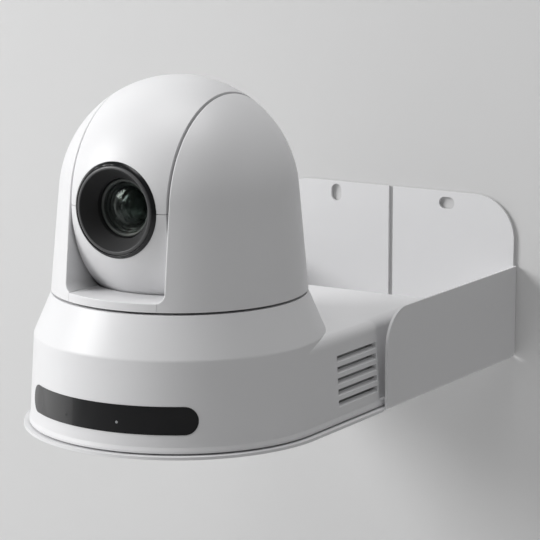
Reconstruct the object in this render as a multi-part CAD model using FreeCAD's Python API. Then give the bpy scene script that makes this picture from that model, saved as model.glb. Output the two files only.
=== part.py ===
import FreeCAD, Part
import math
import os

# Wall bracket folded from one sheet, with the pan-tilt camera that it carries. Millimetres.
# Bench frame: X and Y are zero on the pan axis, Z is zero at the underside of the shelf, the lens
# looks along -Y and the wall lies at +Y. write_parts moves every piece to the part's own frame,
# whose origin is midway between the two lower wall holes, in the plane of the wall.

# Bracket
SHEET = 1.5
BEND_RADIUS = 1.0          # inside radius of each fold
RELIEF = 1.6               # width of the notches that free the folds
WALL_DISTANCE = 226.6      # pan axis to wall
SHELF_RIM = 3.3            # shelf beyond the camera's foot
CHEEK_GAP = 3.0            # camera's side to the inside of a cheek
CHEEK_FRONT = 73.4
CHEEK_HEIGHT = 54.4
CHEEK_CORNER = 20.0
FLANGE_HEIGHT = 94.5
FLANGE_CORNER = 25.5
FLANGE_INSET = 2.0         # free edge of a flange, in from the outside of its cheek
FLANGE_SEAM = 2.0          # gap between the two flanges
WALL_HOLE_SPACING = 75.0
WALL_HOLE_RADIUS = 2.75
WALL_HOLE_HEIGHT = 24.0
WALL_SLOT_DROP = 6.9       # middle of a slot below the top of its flange
WALL_SLOT_WIDTH = 7.0
WALL_SLOT_LENGTH = 10.2
CABLE_NOTCH_WIDTH = 46.0
CABLE_NOTCH_HEIGHT = 26.0
CABLE_NOTCH_CORNER = 6.0

# Screws from the shelf into the camera
TRIPOD_SCREW_RADIUS = 3.1
TRIPOD_HEAD_RADIUS = 7.0
TRIPOD_HEAD_HEIGHT = 4.0
TRIPOD_SCREW_Y = 20.0
HEX_SOCKET = 2.5           # half the distance across the flats of the drive
SMALL_SCREW_RADIUS = 1.45
SMALL_HEAD_RADIUS = 2.8
SMALL_HEAD_HEIGHT = 2.0
SMALL_DRIVE_RADIUS = 1.2
SCREW_SPACING_X = 96.0
SCREW_FRONT_Y = -28.0
SCREW_REAR_Y = 92.0
SCREW_REACH = 5.0          # length of thread in the camera
SCREW_CLEARANCE = 0.2
THREAD_CLEARANCE = 0.05

# Camera base
WALL = 2.0                 # thickness of the housing
FOOT_GAP = 1.0             # shelf to the housing's lower edge
LIP_OUT = 0.5              # how far the foot's lip stands out
LIP_HEIGHT = 3.0
CREASE_INSET = 2.7         # the sides lean in by this much up to the shoulder
CREASE_HEIGHT = 46.4       # above the housing's lower edge
CREASE_ROUND = 3.0
NECK_INSET = 9.3           # shoulder to neck
NECK_HEIGHT = 67.8
NECK_ROUND = 0.5
NECK_WALL = 4.2            # neck to its bore
BOX_REAR = 138.4
BOX_EDGE = 5.5             # round along the box's long top edges
SIDE_STEP = 2.3            # sides behind the vents stand in by this much
SIDE_STEP_Y = 73.0
STEP_WALL = 1.0            # wall across the step
VENT_COUNT = 5
VENT_FIRST = 13.2          # height of the lowest slot above the shelf's underside
VENT_PITCH = 5.9
VENT_SLOT = 1.7
VENT_SILL = 2.4
VENT_FRONT = 31.0
VENT_LENGTH = 40.7
VENT_INNER = 0.5           # how far a slot's cut runs past the inside of the wall
BAFFLE_SHEET = 1.2
BAFFLE_GAP = 3.0           # air space between the wall and the baffle behind it
BAFFLE_MARGIN = 3.5        # baffle beyond the slots, all round
BAFFLE_CLEARANCE = 0.15    # wall to the ribs of the baffle

# Front panel and indicators
PANEL_HALF_ANGLE = 40.5
PANEL_HEIGHT = 14.4
PANEL_MIDDLE = 19.0
PANEL_PROUD = 0.2
PANEL_FLANGE = 1.5
PANEL_CLEARANCE = 0.12
INDICATORS = {"power_indicator": (-13.6, 16.7), "standby_indicator": (9.7, 17.2)}
INDICATOR_RADIUS = 0.7
INDICATOR_CLEARANCE = 0.04

# Inside the base
FLOOR_THICKNESS = 1.5
FLOOR_INSET = 3.0
PAD_RADIUS = 7.0
PAD_SPACING = 104.0
PAD_FRONT_Y = -12.0
PAD_REAR_Y = 118.0
BOSS_RADIUS = 4.5
PILLAR_RADIUS = 4.0
PILLAR_OFFSET = 38.0
FRAME_PLATE = 2.0
FRAME_GAP = 3.0            # neck's bore to the pan frame
BOARD_THICKNESS = 1.6
BOARD_HEIGHT = 9.0         # above the floor plate
BOARD_WIDTH = 116.0
BOARD_FRONT_Y = 60.0
BOARD_LENGTH = 54.0
STANDOFF_RADIUS = 3.0
STANDOFF_INSET = 7.0
PANEL_PLATE = 1.2          # rear connector panel
REAR_WINDOW_WIDTH = 118.0
REAR_WINDOW_BASE = 8.0     # above the housing's lower edge
REAR_WINDOW_HEIGHT = 30.0
REAR_WINDOW_CORNER = 4.0
REAR_RECESS = 3.0
SOCKET_MIDDLE = 23.0       # height of the connectors above the housing's lower edge
CHIPS = ((0.0, 28.0, 28.0, 2.5), (30.0, 12.0, 12.0, 1.6), (-32.0, 12.0, 16.0, 1.6))   # x, size, height

# Connectors: place across the back, then width and height, or radius
RECTANGULAR_SOCKETS = {"network_socket": (-32.0, 16.0, 13.6), "control_socket": (-6.0, 16.0, 13.6)}
ROUND_SOCKETS = {"video_socket": (18.0, 6.4), "power_socket": (42.0, 5.6)}
SOCKET_WALL = 1.4
SOCKET_LENGTH = 17.0
SOCKET_DEPTH = 13.0
SOCKET_PROUD = 0.5
SOCKET_CONTACT = 1.0
VIDEO_PIN_RADIUS = 4.85
VIDEO_PIN_LENGTH = 9.0
VIDEO_PIN_WALL = 0.8
VIDEO_NUT_PROUD = 1.0

# Pan drive
SPINDLE_RADIUS = 12.0
SPINDLE_BORE = 8.0
BEARING_RADIUS = 19.0
BEARING_HEIGHT = 6.0
HUB_WALL = 4.0
HUB_LENGTH = 9.0
RUNNING_CLEARANCE = 0.05
PAN_MODULE = 1.25
PAN_TEETH = 48
PAN_PINION_TEETH = 16
GEAR_WIDTH = 6.0
BACKLASH = 0.16
MOTOR_SHAFT_RADIUS = 2.0
MOTOR_SHAFT_DEPTH = 6.0
PAN_MOTOR_RADIUS = 14.0
PAN_MOTOR_LENGTH = 17.0
CLIP_WIDTH = 3.0
CLIP_HEIGHT = 1.0
CLIP_DEPTH = 1.0
TURNTABLE_PLATE = 2.5
TURNTABLE_SIDE_GAP = 1.5   # neck's bore to the turntable
TURNTABLE_RIM = 4.0
TURNTABLE_GAP = 12.0       # pan frame to the turntable's plate

# Head
WHEEL_RADIUS = 62.5        # tilt unit and dome share this radius
HEAD_WALL = 2.2
NECK_GAP = 1.3             # dark seam between base and head
SKIRT_FLARE = 4.7          # skirt beyond the radius of the tilt unit
LIP_RISE = 4.4             # head's lower edge to the floor of the front pocket
AXIS_HEIGHT = 50.2         # tilt axis above the neck
WHEEL_HALF = 29.0          # half the width of the tilt unit
WHEEL_EDGE = 1.2
WHEEL_SIDE_GAP = 1.0
WHEEL_ROUND_GAP = 0.9
WHEEL_ROOM = 5.5           # tilt unit to the turntable's plate
POCKET_CORNER = 4.5
ARM_EDGE = 0.5
SKIRT_SPLIT = 27.0
SPLIT_GAP = 0.2
REAR_COVER_HEIGHT = 33.0

# Yoke and tilt drive
YOKE_SHEET = 1.5
YOKE_HALF_WIDTH = 20.0
YOKE_GAP = 0.3             # yoke to the arm cover's inner wall
YOKE_SCREW_SPACING = 26.0
BUSH_RADIUS = 8.0
BUSH_FLANGE = 10.0
BUSH_FLANGE_HEIGHT = 1.4
SHAFT_RADIUS = 5.0
SHAFT_FLANGE = 9.0
SHAFT_FLANGE_HEIGHT = 1.6
TILT_MODULE = 1.0
TILT_TEETH = 40
TILT_PINION_TEETH = 16
TILT_GEAR_WIDTH = 5.0
TILT_GEAR_X = 37.0
TILT_MOTOR_RADIUS = 12.0
TILT_MOTOR_GAP = 1.6       # tilt motor to the inside of the arm
TILT_SHAFT_DEPTH = 4.0
MOTOR_BRACKET_SHEET = 1.5
MOTOR_BRACKET_GAP = 1.0

# Tilt unit
SHELL_WALL = 2.0
SHELL_SPLIT = 0.3
BEZEL_RADIUS = 24.7
BEZEL_CLEARANCE = 0.15
BEZEL_INNER = 22.3
BEZEL_PROUD = 0.9
BEZEL_FLANGE = 1.8
HOOD_WALL = 1.2
HOOD_REAR_RADIUS = 17.2
HOOD_DEPTH = 13.0
BARREL_RADIUS = 15.0
BARREL_FRONT = 48.4        # ahead of the tilt axis
BARREL_STEPS = ((13.6, 0.5), (12.9, 2.0), (11.6, 2.4), (11.0, 4.2))   # radius, depth
LENS_RADIUS = 10.9
LENS_CROWN = 2.4
LENS_THICKNESS = 2.0
BLOCK_HALF_WIDTH = 19.0
BLOCK_HALF_HEIGHT = 18.0
BLOCK_FRONT = 28.0
BLOCK_REAR = 30.0
BLOCK_EDGE = 2.0
TILT_FRAME_SHEET = 1.5
TILT_FRAME_HALF = 14.0
SENSOR_BOARD = 1.6

# Radii, heights and places worked out from the sizes above
SKIRT_RADIUS = WHEEL_RADIUS + SKIRT_FLARE
NECK_RADIUS = SKIRT_RADIUS
CREASE_RADIUS = NECK_RADIUS + NECK_INSET
FOOT_RADIUS = CREASE_RADIUS + CREASE_INSET
NECK_BORE = NECK_RADIUS - NECK_WALL
FRAME_RADIUS = NECK_BORE - FRAME_GAP
TURNTABLE_RADIUS = NECK_BORE - TURNTABLE_SIDE_GAP
WALL_SLOT_HEIGHT = FLANGE_HEIGHT - WALL_SLOT_DROP
CHEEK_OUTER = FOOT_RADIUS + CHEEK_GAP + SHEET
FLANGE_FRONT = WALL_DISTANCE - SHEET
FOOT_Z = SHEET + FOOT_GAP
CREASE_Z = FOOT_Z + CREASE_HEIGHT
NECK_Z = FOOT_Z + NECK_HEIGHT
SKIRT_Z = NECK_Z + NECK_GAP
POCKET_Z = SKIRT_Z + LIP_RISE
TILT_Z = NECK_Z + AXIS_HEIGHT
FLOOR_Z = FOOT_Z + FLOOR_THICKNESS / 3
FLOOR_TOP = FLOOR_Z + FLOOR_THICKNESS
TURNTABLE_TOP = TILT_Z - WHEEL_RADIUS - WHEEL_ROOM
TURNTABLE_Z = TURNTABLE_TOP - TURNTABLE_PLATE
FRAME_TOP = TURNTABLE_Z - TURNTABLE_GAP
FRAME_Z = FRAME_TOP - FRAME_PLATE
HUB_Z = TURNTABLE_Z - HUB_LENGTH
HUB_RADIUS = BEARING_RADIUS + HUB_WALL
PAN_GEAR_Z = HUB_Z + (HUB_LENGTH - GEAR_WIDTH) / 2
PAN_CENTRES = PAN_MODULE * (PAN_TEETH + PAN_PINION_TEETH) / 2
TILT_CENTRES = TILT_MODULE * (TILT_TEETH + TILT_PINION_TEETH) / 2
TILT_MOTOR_Z = TILT_Z - TILT_CENTRES
ARM_INNER = WHEEL_HALF + WHEEL_SIDE_GAP
YOKE_INNER = ARM_INNER + HEAD_WALL + YOKE_GAP
YOKE_OUTER = YOKE_INNER + YOKE_SHEET
REAR_COVER_Z = SKIRT_Z + REAR_COVER_HEIGHT
BOARD_Z = FLOOR_TOP + BOARD_HEIGHT
FAR = 4 * WHEEL_RADIUS     # reaches past everything that a cut goes through
TOUCH = 1e-3               # closer than this counts as on a surface

X_AXIS = FreeCAD.Vector(1, 0, 0)
Y_AXIS = FreeCAD.Vector(0, 1, 0)
Z_AXIS = FreeCAD.Vector(0, 0, 1)


def vec(x, y, z):
    return FreeCAD.Vector(x, y, z)


def on_xy(z):
    return lambda u, v: vec(u, v, z)


def on_xz(y):
    return lambda u, v: vec(u, y, v)


def on_yz(x):
    return lambda u, v: vec(x, u, v)


def outline(corners, place):
    """Closed wire through (u, v) or (u, v, radius) corners, with a tangent arc at each radius."""
    count = len(corners)
    stretches = []
    for i in range(count):
        here = FreeCAD.Vector(corners[i][0], corners[i][1], 0)
        before = FreeCAD.Vector(corners[i - 1][0], corners[i - 1][1], 0) - here
        after = FreeCAD.Vector(corners[(i + 1) % count][0], corners[(i + 1) % count][1], 0) - here
        radius = corners[i][2] if len(corners[i]) > 2 else 0.0
        before.normalize()
        after.normalize()
        if radius <= 0:
            stretches.append((here, None, here))
            continue
        half = before.getAngle(after) / 2
        run = radius / math.tan(half)
        middle = before + after
        middle.normalize()
        middle = here + middle * (radius / math.sin(half) - radius)
        stretches.append((here + before * run, middle, here + after * run))
    edges = []
    for i in range(count):
        start, middle, end = stretches[i]
        last = stretches[i - 1][2]
        if last.distanceToPoint(start) > 1e-6:
            edges.append(Part.LineSegment(place(last.x, last.y), place(start.x, start.y)).toShape())
        if middle is not None:
            points = [place(p.x, p.y) for p in (start, middle, end)]
            edges.append(Part.Arc(*points).toShape())
    return Part.Wire(edges)


def prism(corners, place, along):
    return Part.Face(outline(corners, place)).extrude(along)


def block(x0, x1, y0, y1, z0, z1):
    return Part.makeBox(x1 - x0, y1 - y0, z1 - z0, vec(x0, y0, z0))


def slab_x(x0, x1):
    return block(x0, x1, -FAR, FAR, -FAR, FAR)


def cylinder_x(radius, x0, x1, y, z):
    return Part.makeCylinder(radius, x1 - x0, vec(x0, y, z), X_AXIS)


def cylinder_y(radius, y0, y1, x, z):
    return Part.makeCylinder(radius, y1 - y0, vec(x, y0, z), Y_AXIS)


def cylinder_z(radius, z0, z1, x=0.0, y=0.0):
    return Part.makeCylinder(radius, z1 - z0, vec(x, y, z0), Z_AXIS)


def ring_z(outer, inner, z0, z1, x=0.0, y=0.0):
    return cylinder_z(outer, z0, z1, x, y).cut(cylinder_z(inner, z0 - 1, z1 + 1, x, y))


def turned_z(corners):
    """Solid of revolution about the pan axis from (radius, height) corners."""
    return Part.Face(outline(corners, on_xz(0))).revolve(vec(0, 0, 0), Z_AXIS, 360)


def turned_lens(corners):
    """Solid of revolution about the lens axis from (radius, distance ahead of the axis)."""
    face = Part.Face(outline(corners, lambda r, d: vec(r, -d, TILT_Z)))
    return face.revolve(vec(0, 0, TILT_Z), Y_AXIS, 360)


def mirrored(shape):
    return shape.mirror(vec(0, 0, 0), X_AXIS)


def both_sides(shape):
    return shape.fuse(mirrored(shape))


def one_solid(shape):
    return shape.removeSplitter().Solids[0]


def group(shapes):
    return Part.makeCompound([one_solid(shape) for shape in shapes])


def slot(length, width, along_x, x, z, y0, y1):
    """Round-ended slot through the Y direction, centred on (x, z)."""
    reach = (length - width) / 2
    step = (reach, 0) if along_x else (0, reach)
    ends = [cylinder_y(width / 2, y0, y1, x + s * step[0], z + s * step[1]) for s in (-1, 1)]
    half_u = reach if along_x else width / 2
    half_v = width / 2 if along_x else reach
    return ends[0].fuse([ends[1], block(x - half_u, x + half_u, y0, y1, z - half_v, z + half_v)])


# Bracket

def shelf():
    """Flat shelf: round ahead of the pan axis, notched where the side folds begin."""
    rim = FOOT_RADIUS + SHELF_RIM
    fold_x = CHEEK_OUTER - SHEET - BEND_RADIUS
    fold_y = FLANGE_FRONT - BEND_RADIUS
    front = cylinder_z(rim, 0, SHEET).cut(block(-FAR, FAR, 0, FAR, -1, SHEET + 1))
    sides = block(-rim, rim, 0, CHEEK_FRONT - RELIEF, 0, SHEET)
    rear = block(-fold_x, fold_x, 0, fold_y, 0, SHEET)
    notches = [block(s * fold_x - RELIEF / 2, s * fold_x + RELIEF / 2,
                     CHEEK_FRONT - RELIEF, CHEEK_FRONT, -1, SHEET + 1) for s in (-1, 1)]
    return front.fuse([sides, rear]).cut(notches)


def fold(centre, start, turn_axis, along):
    """Quarter bend: a strip as wide as the sheet swept a quarter turn, then run along the fold."""
    inner = centre + start * BEND_RADIUS
    outer = centre + start * (BEND_RADIUS + SHEET)
    arc = Part.LineSegment(inner, outer).toShape().revolve(centre, turn_axis, 90)
    return arc.extrude(along)


def cheek():
    """Right cheek with the fold that joins it to the shelf."""
    fold_z = SHEET + BEND_RADIUS
    fold_y = FLANGE_FRONT - BEND_RADIUS
    corners = [(CHEEK_FRONT, fold_z), (fold_y, fold_z), (fold_y, CHEEK_HEIGHT),
               (CHEEK_FRONT, CHEEK_HEIGHT, CHEEK_CORNER)]
    wall = prism(corners, on_yz(CHEEK_OUTER - SHEET), X_AXIS * SHEET)
    centre = vec(CHEEK_OUTER - SHEET - BEND_RADIUS, CHEEK_FRONT, fold_z)
    bend = fold(centre, vec(0, 0, -1), vec(0, -1, 0), Y_AXIS * (fold_y - RELIEF - CHEEK_FRONT))
    return wall.fuse(bend)


def flange():
    """Right back flange: folded in from the cheek, free above it, with its wall fixings."""
    fold_x = CHEEK_OUTER - SHEET - BEND_RADIUS
    fold_y = FLANGE_FRONT - BEND_RADIUS
    edge_x = CHEEK_OUTER - FLANGE_INSET
    low = SHEET + BEND_RADIUS
    corners = [(FLANGE_SEAM / 2, 0), (fold_x - RELIEF, 0), (fold_x - RELIEF, low), (fold_x, low),
               (fold_x, CHEEK_HEIGHT), (edge_x, CHEEK_HEIGHT), (edge_x, FLANGE_HEIGHT, FLANGE_CORNER),
               (FLANGE_SEAM / 2, FLANGE_HEIGHT)]
    plate = prism(corners, on_xz(FLANGE_FRONT), Y_AXIS * SHEET)
    bend = fold(vec(fold_x, fold_y, low), X_AXIS, Z_AXIS, Z_AXIS * (CHEEK_HEIGHT - low))
    return plate.fuse(bend)


def shelf_screw_places():
    return [(s * SCREW_SPACING_X / 2, y) for s in (-1, 1) for y in (SCREW_FRONT_Y, SCREW_REAR_Y)]


def wall_bracket():
    sheet = shelf().fuse([both_sides(cheek()), both_sides(flange())])
    y0, y1 = FLANGE_FRONT - 1, WALL_DISTANCE + 1
    half = WALL_HOLE_SPACING / 2
    cuts = [cylinder_y(WALL_HOLE_RADIUS, y0, y1, s * half, WALL_HOLE_HEIGHT) for s in (-1, 1)]
    cuts += [slot(WALL_SLOT_LENGTH, WALL_SLOT_WIDTH, s > 0, s * half, WALL_SLOT_HEIGHT, y0, y1)
             for s in (-1, 1)]
    notch = [(-CABLE_NOTCH_WIDTH / 2, -1), (CABLE_NOTCH_WIDTH / 2, -1),
             (CABLE_NOTCH_WIDTH / 2, CABLE_NOTCH_HEIGHT, CABLE_NOTCH_CORNER),
             (-CABLE_NOTCH_WIDTH / 2, CABLE_NOTCH_HEIGHT, CABLE_NOTCH_CORNER)]
    cuts.append(prism(notch, on_xz(FLANGE_FRONT - 0.5), Y_AXIS * (SHEET + 1)))
    cuts.append(cylinder_z(TRIPOD_SCREW_RADIUS + SCREW_CLEARANCE, -1, SHEET + 1, 0, TRIPOD_SCREW_Y))
    cuts += [cylinder_z(SMALL_SCREW_RADIUS + SCREW_CLEARANCE, -1, SHEET + 1, x, y)
             for x, y in shelf_screw_places()]
    return one_solid(sheet.cut(cuts))


def hexagon(half_flat, x, y, z0, z1):
    reach = half_flat / math.cos(math.pi / 6)
    corners = [(x + reach * math.cos(i * math.pi / 3), y + reach * math.sin(i * math.pi / 3))
               for i in range(6)]
    return prism(corners, on_xy(z0), Z_AXIS * (z1 - z0))


def camera_screw():
    """Hexagon-socket screw from under the shelf into the camera's tripod thread."""
    y = TRIPOD_SCREW_Y
    head = cylinder_z(TRIPOD_HEAD_RADIUS, -TRIPOD_HEAD_HEIGHT, 0, 0, y)
    shank = cylinder_z(TRIPOD_SCREW_RADIUS, 0, FLOOR_Z + SCREW_REACH, 0, y)
    drive = hexagon(HEX_SOCKET, 0, y, -TRIPOD_HEAD_HEIGHT - 1, -TRIPOD_HEAD_HEIGHT / 3)
    return one_solid(head.fuse(shank).cut(drive))


def bracket_screws():
    """Four small screws that keep the camera from turning on the shelf."""
    screws = []
    for x, y in shelf_screw_places():
        head = cylinder_z(SMALL_HEAD_RADIUS, -SMALL_HEAD_HEIGHT, 0, x, y)
        shank = cylinder_z(SMALL_SCREW_RADIUS, 0, FLOOR_Z + SCREW_REACH, x, y)
        drive = hexagon(SMALL_DRIVE_RADIUS, x, y, -SMALL_HEAD_HEIGHT - 1, -SMALL_HEAD_HEIGHT / 2)
        screws.append(head.fuse(shank).cut(drive))
    return group(screws)


# Camera base

def side_at(z):
    """Half-width of the base at a height, before any inset: the sides lean in."""
    return FOOT_RADIUS - (FOOT_RADIUS - CREASE_RADIUS) * (z - FOOT_Z) / CREASE_HEIGHT


def box_stretch(half_low, half_high, low, high, edge, y0, y1):
    corners = [(-half_low, low), (half_low, low), (half_high, high, edge), (-half_high, high, edge)]
    return prism(corners, on_xz(y0), Y_AXIS * (y1 - y0))


def base_form(inset, low):
    """Drum with its shoulder, and the box behind it, inset from the outside by one thickness."""
    drum = turned_z([(0, low), (side_at(low) - inset, low),
                     (CREASE_RADIUS - inset, CREASE_Z - inset / 2, CREASE_ROUND),
                     (NECK_RADIUS - inset, NECK_Z - inset, NECK_ROUND), (0, NECK_Z - inset)])
    top = CREASE_Z - inset
    edge = BOX_EDGE - inset
    step_y = SIDE_STEP_Y - (STEP_WALL if inset else 0)
    front = box_stretch(side_at(low) - inset, side_at(CREASE_Z) - inset, low, top, edge, 0, step_y)
    inner = inset + SIDE_STEP
    rear = box_stretch(side_at(low) - inner, side_at(CREASE_Z) - inner, low, top, edge,
                       SIDE_STEP_Y - STEP_WALL, BOX_REAR - inset)
    return drum.fuse([front, rear])


def foot_lip(low, high):
    """Lip round the housing's lower edge, straight along the sides."""
    radius = FOOT_RADIUS + LIP_OUT
    front = turned_z([(0, low), (radius, low), (radius, low + (high - low) / 3),
                      (side_at(high), high), (0, high)])
    corners = [(-radius, low), (radius, low), (radius, low + (high - low) / 3), (side_at(high), high),
               (-side_at(high), high), (-radius, low + (high - low) / 3)]
    sides = prism(corners, on_xz(0), Y_AXIS * BOX_REAR)
    return front.fuse(sides)


def vent_cuts():
    """Louvred slots: each opens through the wall above a sloping sill."""
    cuts = []
    for i in range(VENT_COUNT):
        z = VENT_FIRST + i * VENT_PITCH
        outer = side_at(z) + 1
        inner = side_at(z) - WALL - VENT_INNER
        corners = [(outer, z - VENT_SLOT / 2 - VENT_SILL), (outer, z + VENT_SLOT / 2),
                   (inner, z + VENT_SLOT / 2), (inner, z - VENT_SLOT / 2)]
        cuts.append(both_sides(prism(corners, on_xz(VENT_FRONT), Y_AXIS * VENT_LENGTH)))
    return cuts


def vent_baffles():
    """Dark plate behind each row of slots, stood off the wall on a rib at each end."""
    low = VENT_FIRST - BAFFLE_MARGIN
    high = VENT_FIRST + (VENT_COUNT - 1) * VENT_PITCH + BAFFLE_MARGIN
    reach = BAFFLE_GAP + BAFFLE_SHEET

    def leaning(near, far):
        return [(side_at(low) - WALL - near, low), (side_at(high) - WALL - near, high),
                (side_at(high) - WALL - far, high), (side_at(low) - WALL - far, low)]

    front = VENT_FRONT - BAFFLE_MARGIN
    length = SIDE_STEP_Y - STEP_WALL - front
    plate = prism(leaning(BAFFLE_GAP, reach), on_xz(front), Y_AXIS * length)
    ribs = [prism(leaning(BAFFLE_CLEARANCE, reach), on_xz(y), Y_AXIS * BAFFLE_SHEET)
            for y in (front, front + length - BAFFLE_SHEET)]
    baffle = plate.fuse(ribs)
    return group([baffle, mirrored(baffle)])


def panel_form(grow, inner, outer):
    """Round-ended band on the front of the drum, between two depths from its surface."""
    half = PANEL_HEIGHT / 2 + grow
    reach = math.degrees((PANEL_HEIGHT / 2) / side_at(PANEL_MIDDLE))
    turn = PANEL_HALF_ANGLE - reach
    low, high = PANEL_MIDDLE - half, PANEL_MIDDLE + half
    corners = [(side_at(low) - inner, low), (side_at(low) + outer, low),
               (side_at(high) + outer, high), (side_at(high) - inner, high)]
    ring = turned_z(corners)
    start = vec(0, -1, 0)
    face = Part.Face(outline(corners, on_xz(0)))
    face.rotate(vec(0, 0, 0), Z_AXIS, -90 - turn)
    form = face.revolve(vec(0, 0, 0), Z_AXIS, 2 * turn)
    ends = []
    for s in (-1, 1):
        out = FreeCAD.Rotation(Z_AXIS, s * turn).multVec(start)
        foot = out * (side_at(high) - inner - 2) + vec(0, 0, PANEL_MIDDLE)
        ends.append(ring.common(Part.makeCylinder(half, inner + outer + 8, foot, out)))
    return form.fuse(ends)


def indicator(angle, height, radius, inner, outer):
    out = FreeCAD.Rotation(Z_AXIS, angle).multVec(vec(0, -1, 0))
    foot = out * (side_at(height) - inner) + vec(0, 0, height)
    return Part.makeCylinder(radius, inner + outer, foot, out)


def front_panel():
    """Dark window, held from inside by a flange behind the edge of its opening."""
    face = panel_form(-PANEL_CLEARANCE, WALL + PANEL_CLEARANCE, PANEL_PROUD)
    flange = panel_form(PANEL_FLANGE, WALL + PANEL_CLEARANCE + 1.0, -WALL - PANEL_CLEARANCE)
    holes = [indicator(a, z, INDICATOR_RADIUS + INDICATOR_CLEARANCE, 2 * WALL, WALL)
             for a, z in INDICATORS.values()]
    return one_solid(face.fuse(flange).cut(holes))


def indicator_light(name):
    angle, height = INDICATORS[name]
    return indicator(angle, height, INDICATOR_RADIUS, WALL + 1.5, PANEL_PROUD)


def rear_window(grow, y0, y1):
    half = REAR_WINDOW_WIDTH / 2 + grow
    low = FOOT_Z + REAR_WINDOW_BASE - grow
    high = low + REAR_WINDOW_HEIGHT + 2 * grow
    corner = REAR_WINDOW_CORNER + grow
    corners = [(-half, low, corner), (half, low, corner), (half, high, corner), (-half, high, corner)]
    return prism(corners, on_xz(y0), Y_AXIS * (y1 - y0))


def base_housing():
    outer = base_form(0, FOOT_Z).fuse(foot_lip(FOOT_Z, FOOT_Z + LIP_HEIGHT))
    shell = outer.cut(base_form(WALL, FOOT_Z - 1))
    cuts = vent_cuts()
    cuts.append(cylinder_z(NECK_BORE, CREASE_Z, NECK_Z + 1))
    cuts.append(panel_form(0, WALL + 1, 2))
    cuts.append(rear_window(0, BOX_REAR - 2 * WALL, BOX_REAR + 1))
    return one_solid(shell.cut(cuts))


def floor_form(inset, z0, z1):
    """Outline of the base, inset from its foot, as a plate between two heights."""
    radius = FOOT_RADIUS - inset
    rear = radius - SIDE_STEP
    plate = cylinder_z(radius, z0, z1).cut(block(-FAR, FAR, 0, FAR, z0 - 1, z1 + 1))
    front = block(-radius, radius, 0, SIDE_STEP_Y - WALL, z0, z1)
    return plate.fuse([front, block(-rear, rear, 0, BOX_REAR - inset, z0, z1)])


def pillar_places():
    return [(sx * PILLAR_OFFSET, sy * PILLAR_OFFSET) for sx in (-1, 1) for sy in (-1, 1)]


def board_corners():
    half = BOARD_WIDTH / 2 - STANDOFF_INSET
    front = BOARD_FRONT_Y + STANDOFF_INSET
    rear = BOARD_FRONT_Y + BOARD_LENGTH - STANDOFF_INSET
    return [(s * half, y) for s in (-1, 1) for y in (front, rear)]


def base_floor():
    """Steel floor of the camera, with the threads for the shelf's screws."""
    plate = floor_form(FLOOR_INSET, FLOOR_Z, FLOOR_TOP)
    top = FLOOR_Z + SCREW_REACH + 1
    bosses = [cylinder_z(BOSS_RADIUS, FLOOR_Z, top, x, y) for x, y in shelf_screw_places()]
    bosses.append(cylinder_z(2 * BOSS_RADIUS, FLOOR_Z, top, 0, TRIPOD_SCREW_Y))
    bosses += [cylinder_z(STANDOFF_RADIUS, FLOOR_Z, BOARD_Z, x, y) for x, y in board_corners()]
    holes = [cylinder_z(SMALL_SCREW_RADIUS + THREAD_CLEARANCE, FLOOR_Z - 1, top + 1, x, y)
             for x, y in shelf_screw_places()]
    holes.append(cylinder_z(TRIPOD_SCREW_RADIUS + THREAD_CLEARANCE, FLOOR_Z - 1, top + 1,
                            0, TRIPOD_SCREW_Y))
    return one_solid(plate.fuse(bosses).cut(holes))


def base_pads():
    """Four thin rubber pads between the camera's floor and the shelf."""
    places = [(s * PAD_SPACING / 2, y) for s in (-1, 1) for y in (PAD_FRONT_Y, PAD_REAR_Y)]
    return group([cylinder_z(PAD_RADIUS, SHEET, FLOOR_Z, x, y) for x, y in places])


def main_circuit_board():
    half = BOARD_WIDTH / 2
    board = block(-half, half, BOARD_FRONT_Y, BOARD_FRONT_Y + BOARD_LENGTH, BOARD_Z,
                  BOARD_Z + BOARD_THICKNESS)
    middle = BOARD_FRONT_Y + BOARD_LENGTH / 2
    top = BOARD_Z + BOARD_THICKNESS
    chips = [block(x - width / 2, x + width / 2, middle - length / 2, middle + length / 2, top, top + height)
             for x, width, length, height in CHIPS]
    return one_solid(board.fuse(chips))


def rear_connector_panel():
    """Recessed plate at the back, with an opening for each connector."""
    y1 = BOX_REAR - REAR_RECESS
    y0 = y1 - PANEL_PLATE
    plate = rear_window(-PANEL_CLEARANCE, y0, y1)
    edge = rear_window(-PANEL_CLEARANCE, y0, BOX_REAR - PANEL_CLEARANCE)
    edge = edge.cut(rear_window(-PANEL_CLEARANCE - PANEL_PLATE, y0 - 1, BOX_REAR + 1))
    z = FOOT_Z + SOCKET_MIDDLE
    cuts = [block(x - w / 2 - THREAD_CLEARANCE, x + w / 2 + THREAD_CLEARANCE, y0 - 1, y1 + 1,
                  z - h / 2 - THREAD_CLEARANCE, z + h / 2 + THREAD_CLEARANCE)
            for x, w, h in RECTANGULAR_SOCKETS.values()]
    cuts += [cylinder_y(r + THREAD_CLEARANCE, y0 - 1, y1 + 1, x, z) for x, r in ROUND_SOCKETS.values()]
    return one_solid(plate.fuse(edge).cut(cuts))


def rectangular_socket(name):
    """Open can for a flat plug, with its key slot at the bottom."""
    x, width, height = RECTANGULAR_SOCKETS[name]
    z = FOOT_Z + SOCKET_MIDDLE
    face = BOX_REAR - REAR_RECESS + SOCKET_PROUD
    can = block(x - width / 2, x + width / 2, face - SOCKET_LENGTH, face, z - height / 2, z + height / 2)
    hollow = block(x - width / 2 + SOCKET_WALL, x + width / 2 - SOCKET_WALL, face - SOCKET_DEPTH,
                   face + 1, z - height / 2 + 2 * SOCKET_WALL, z + height / 2 - SOCKET_WALL)
    key = block(x - width / 6, x + width / 6, face - SOCKET_DEPTH, face + 1,
                z - height / 2 + SOCKET_WALL, z)
    return one_solid(can.cut([hollow, key]))


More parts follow.
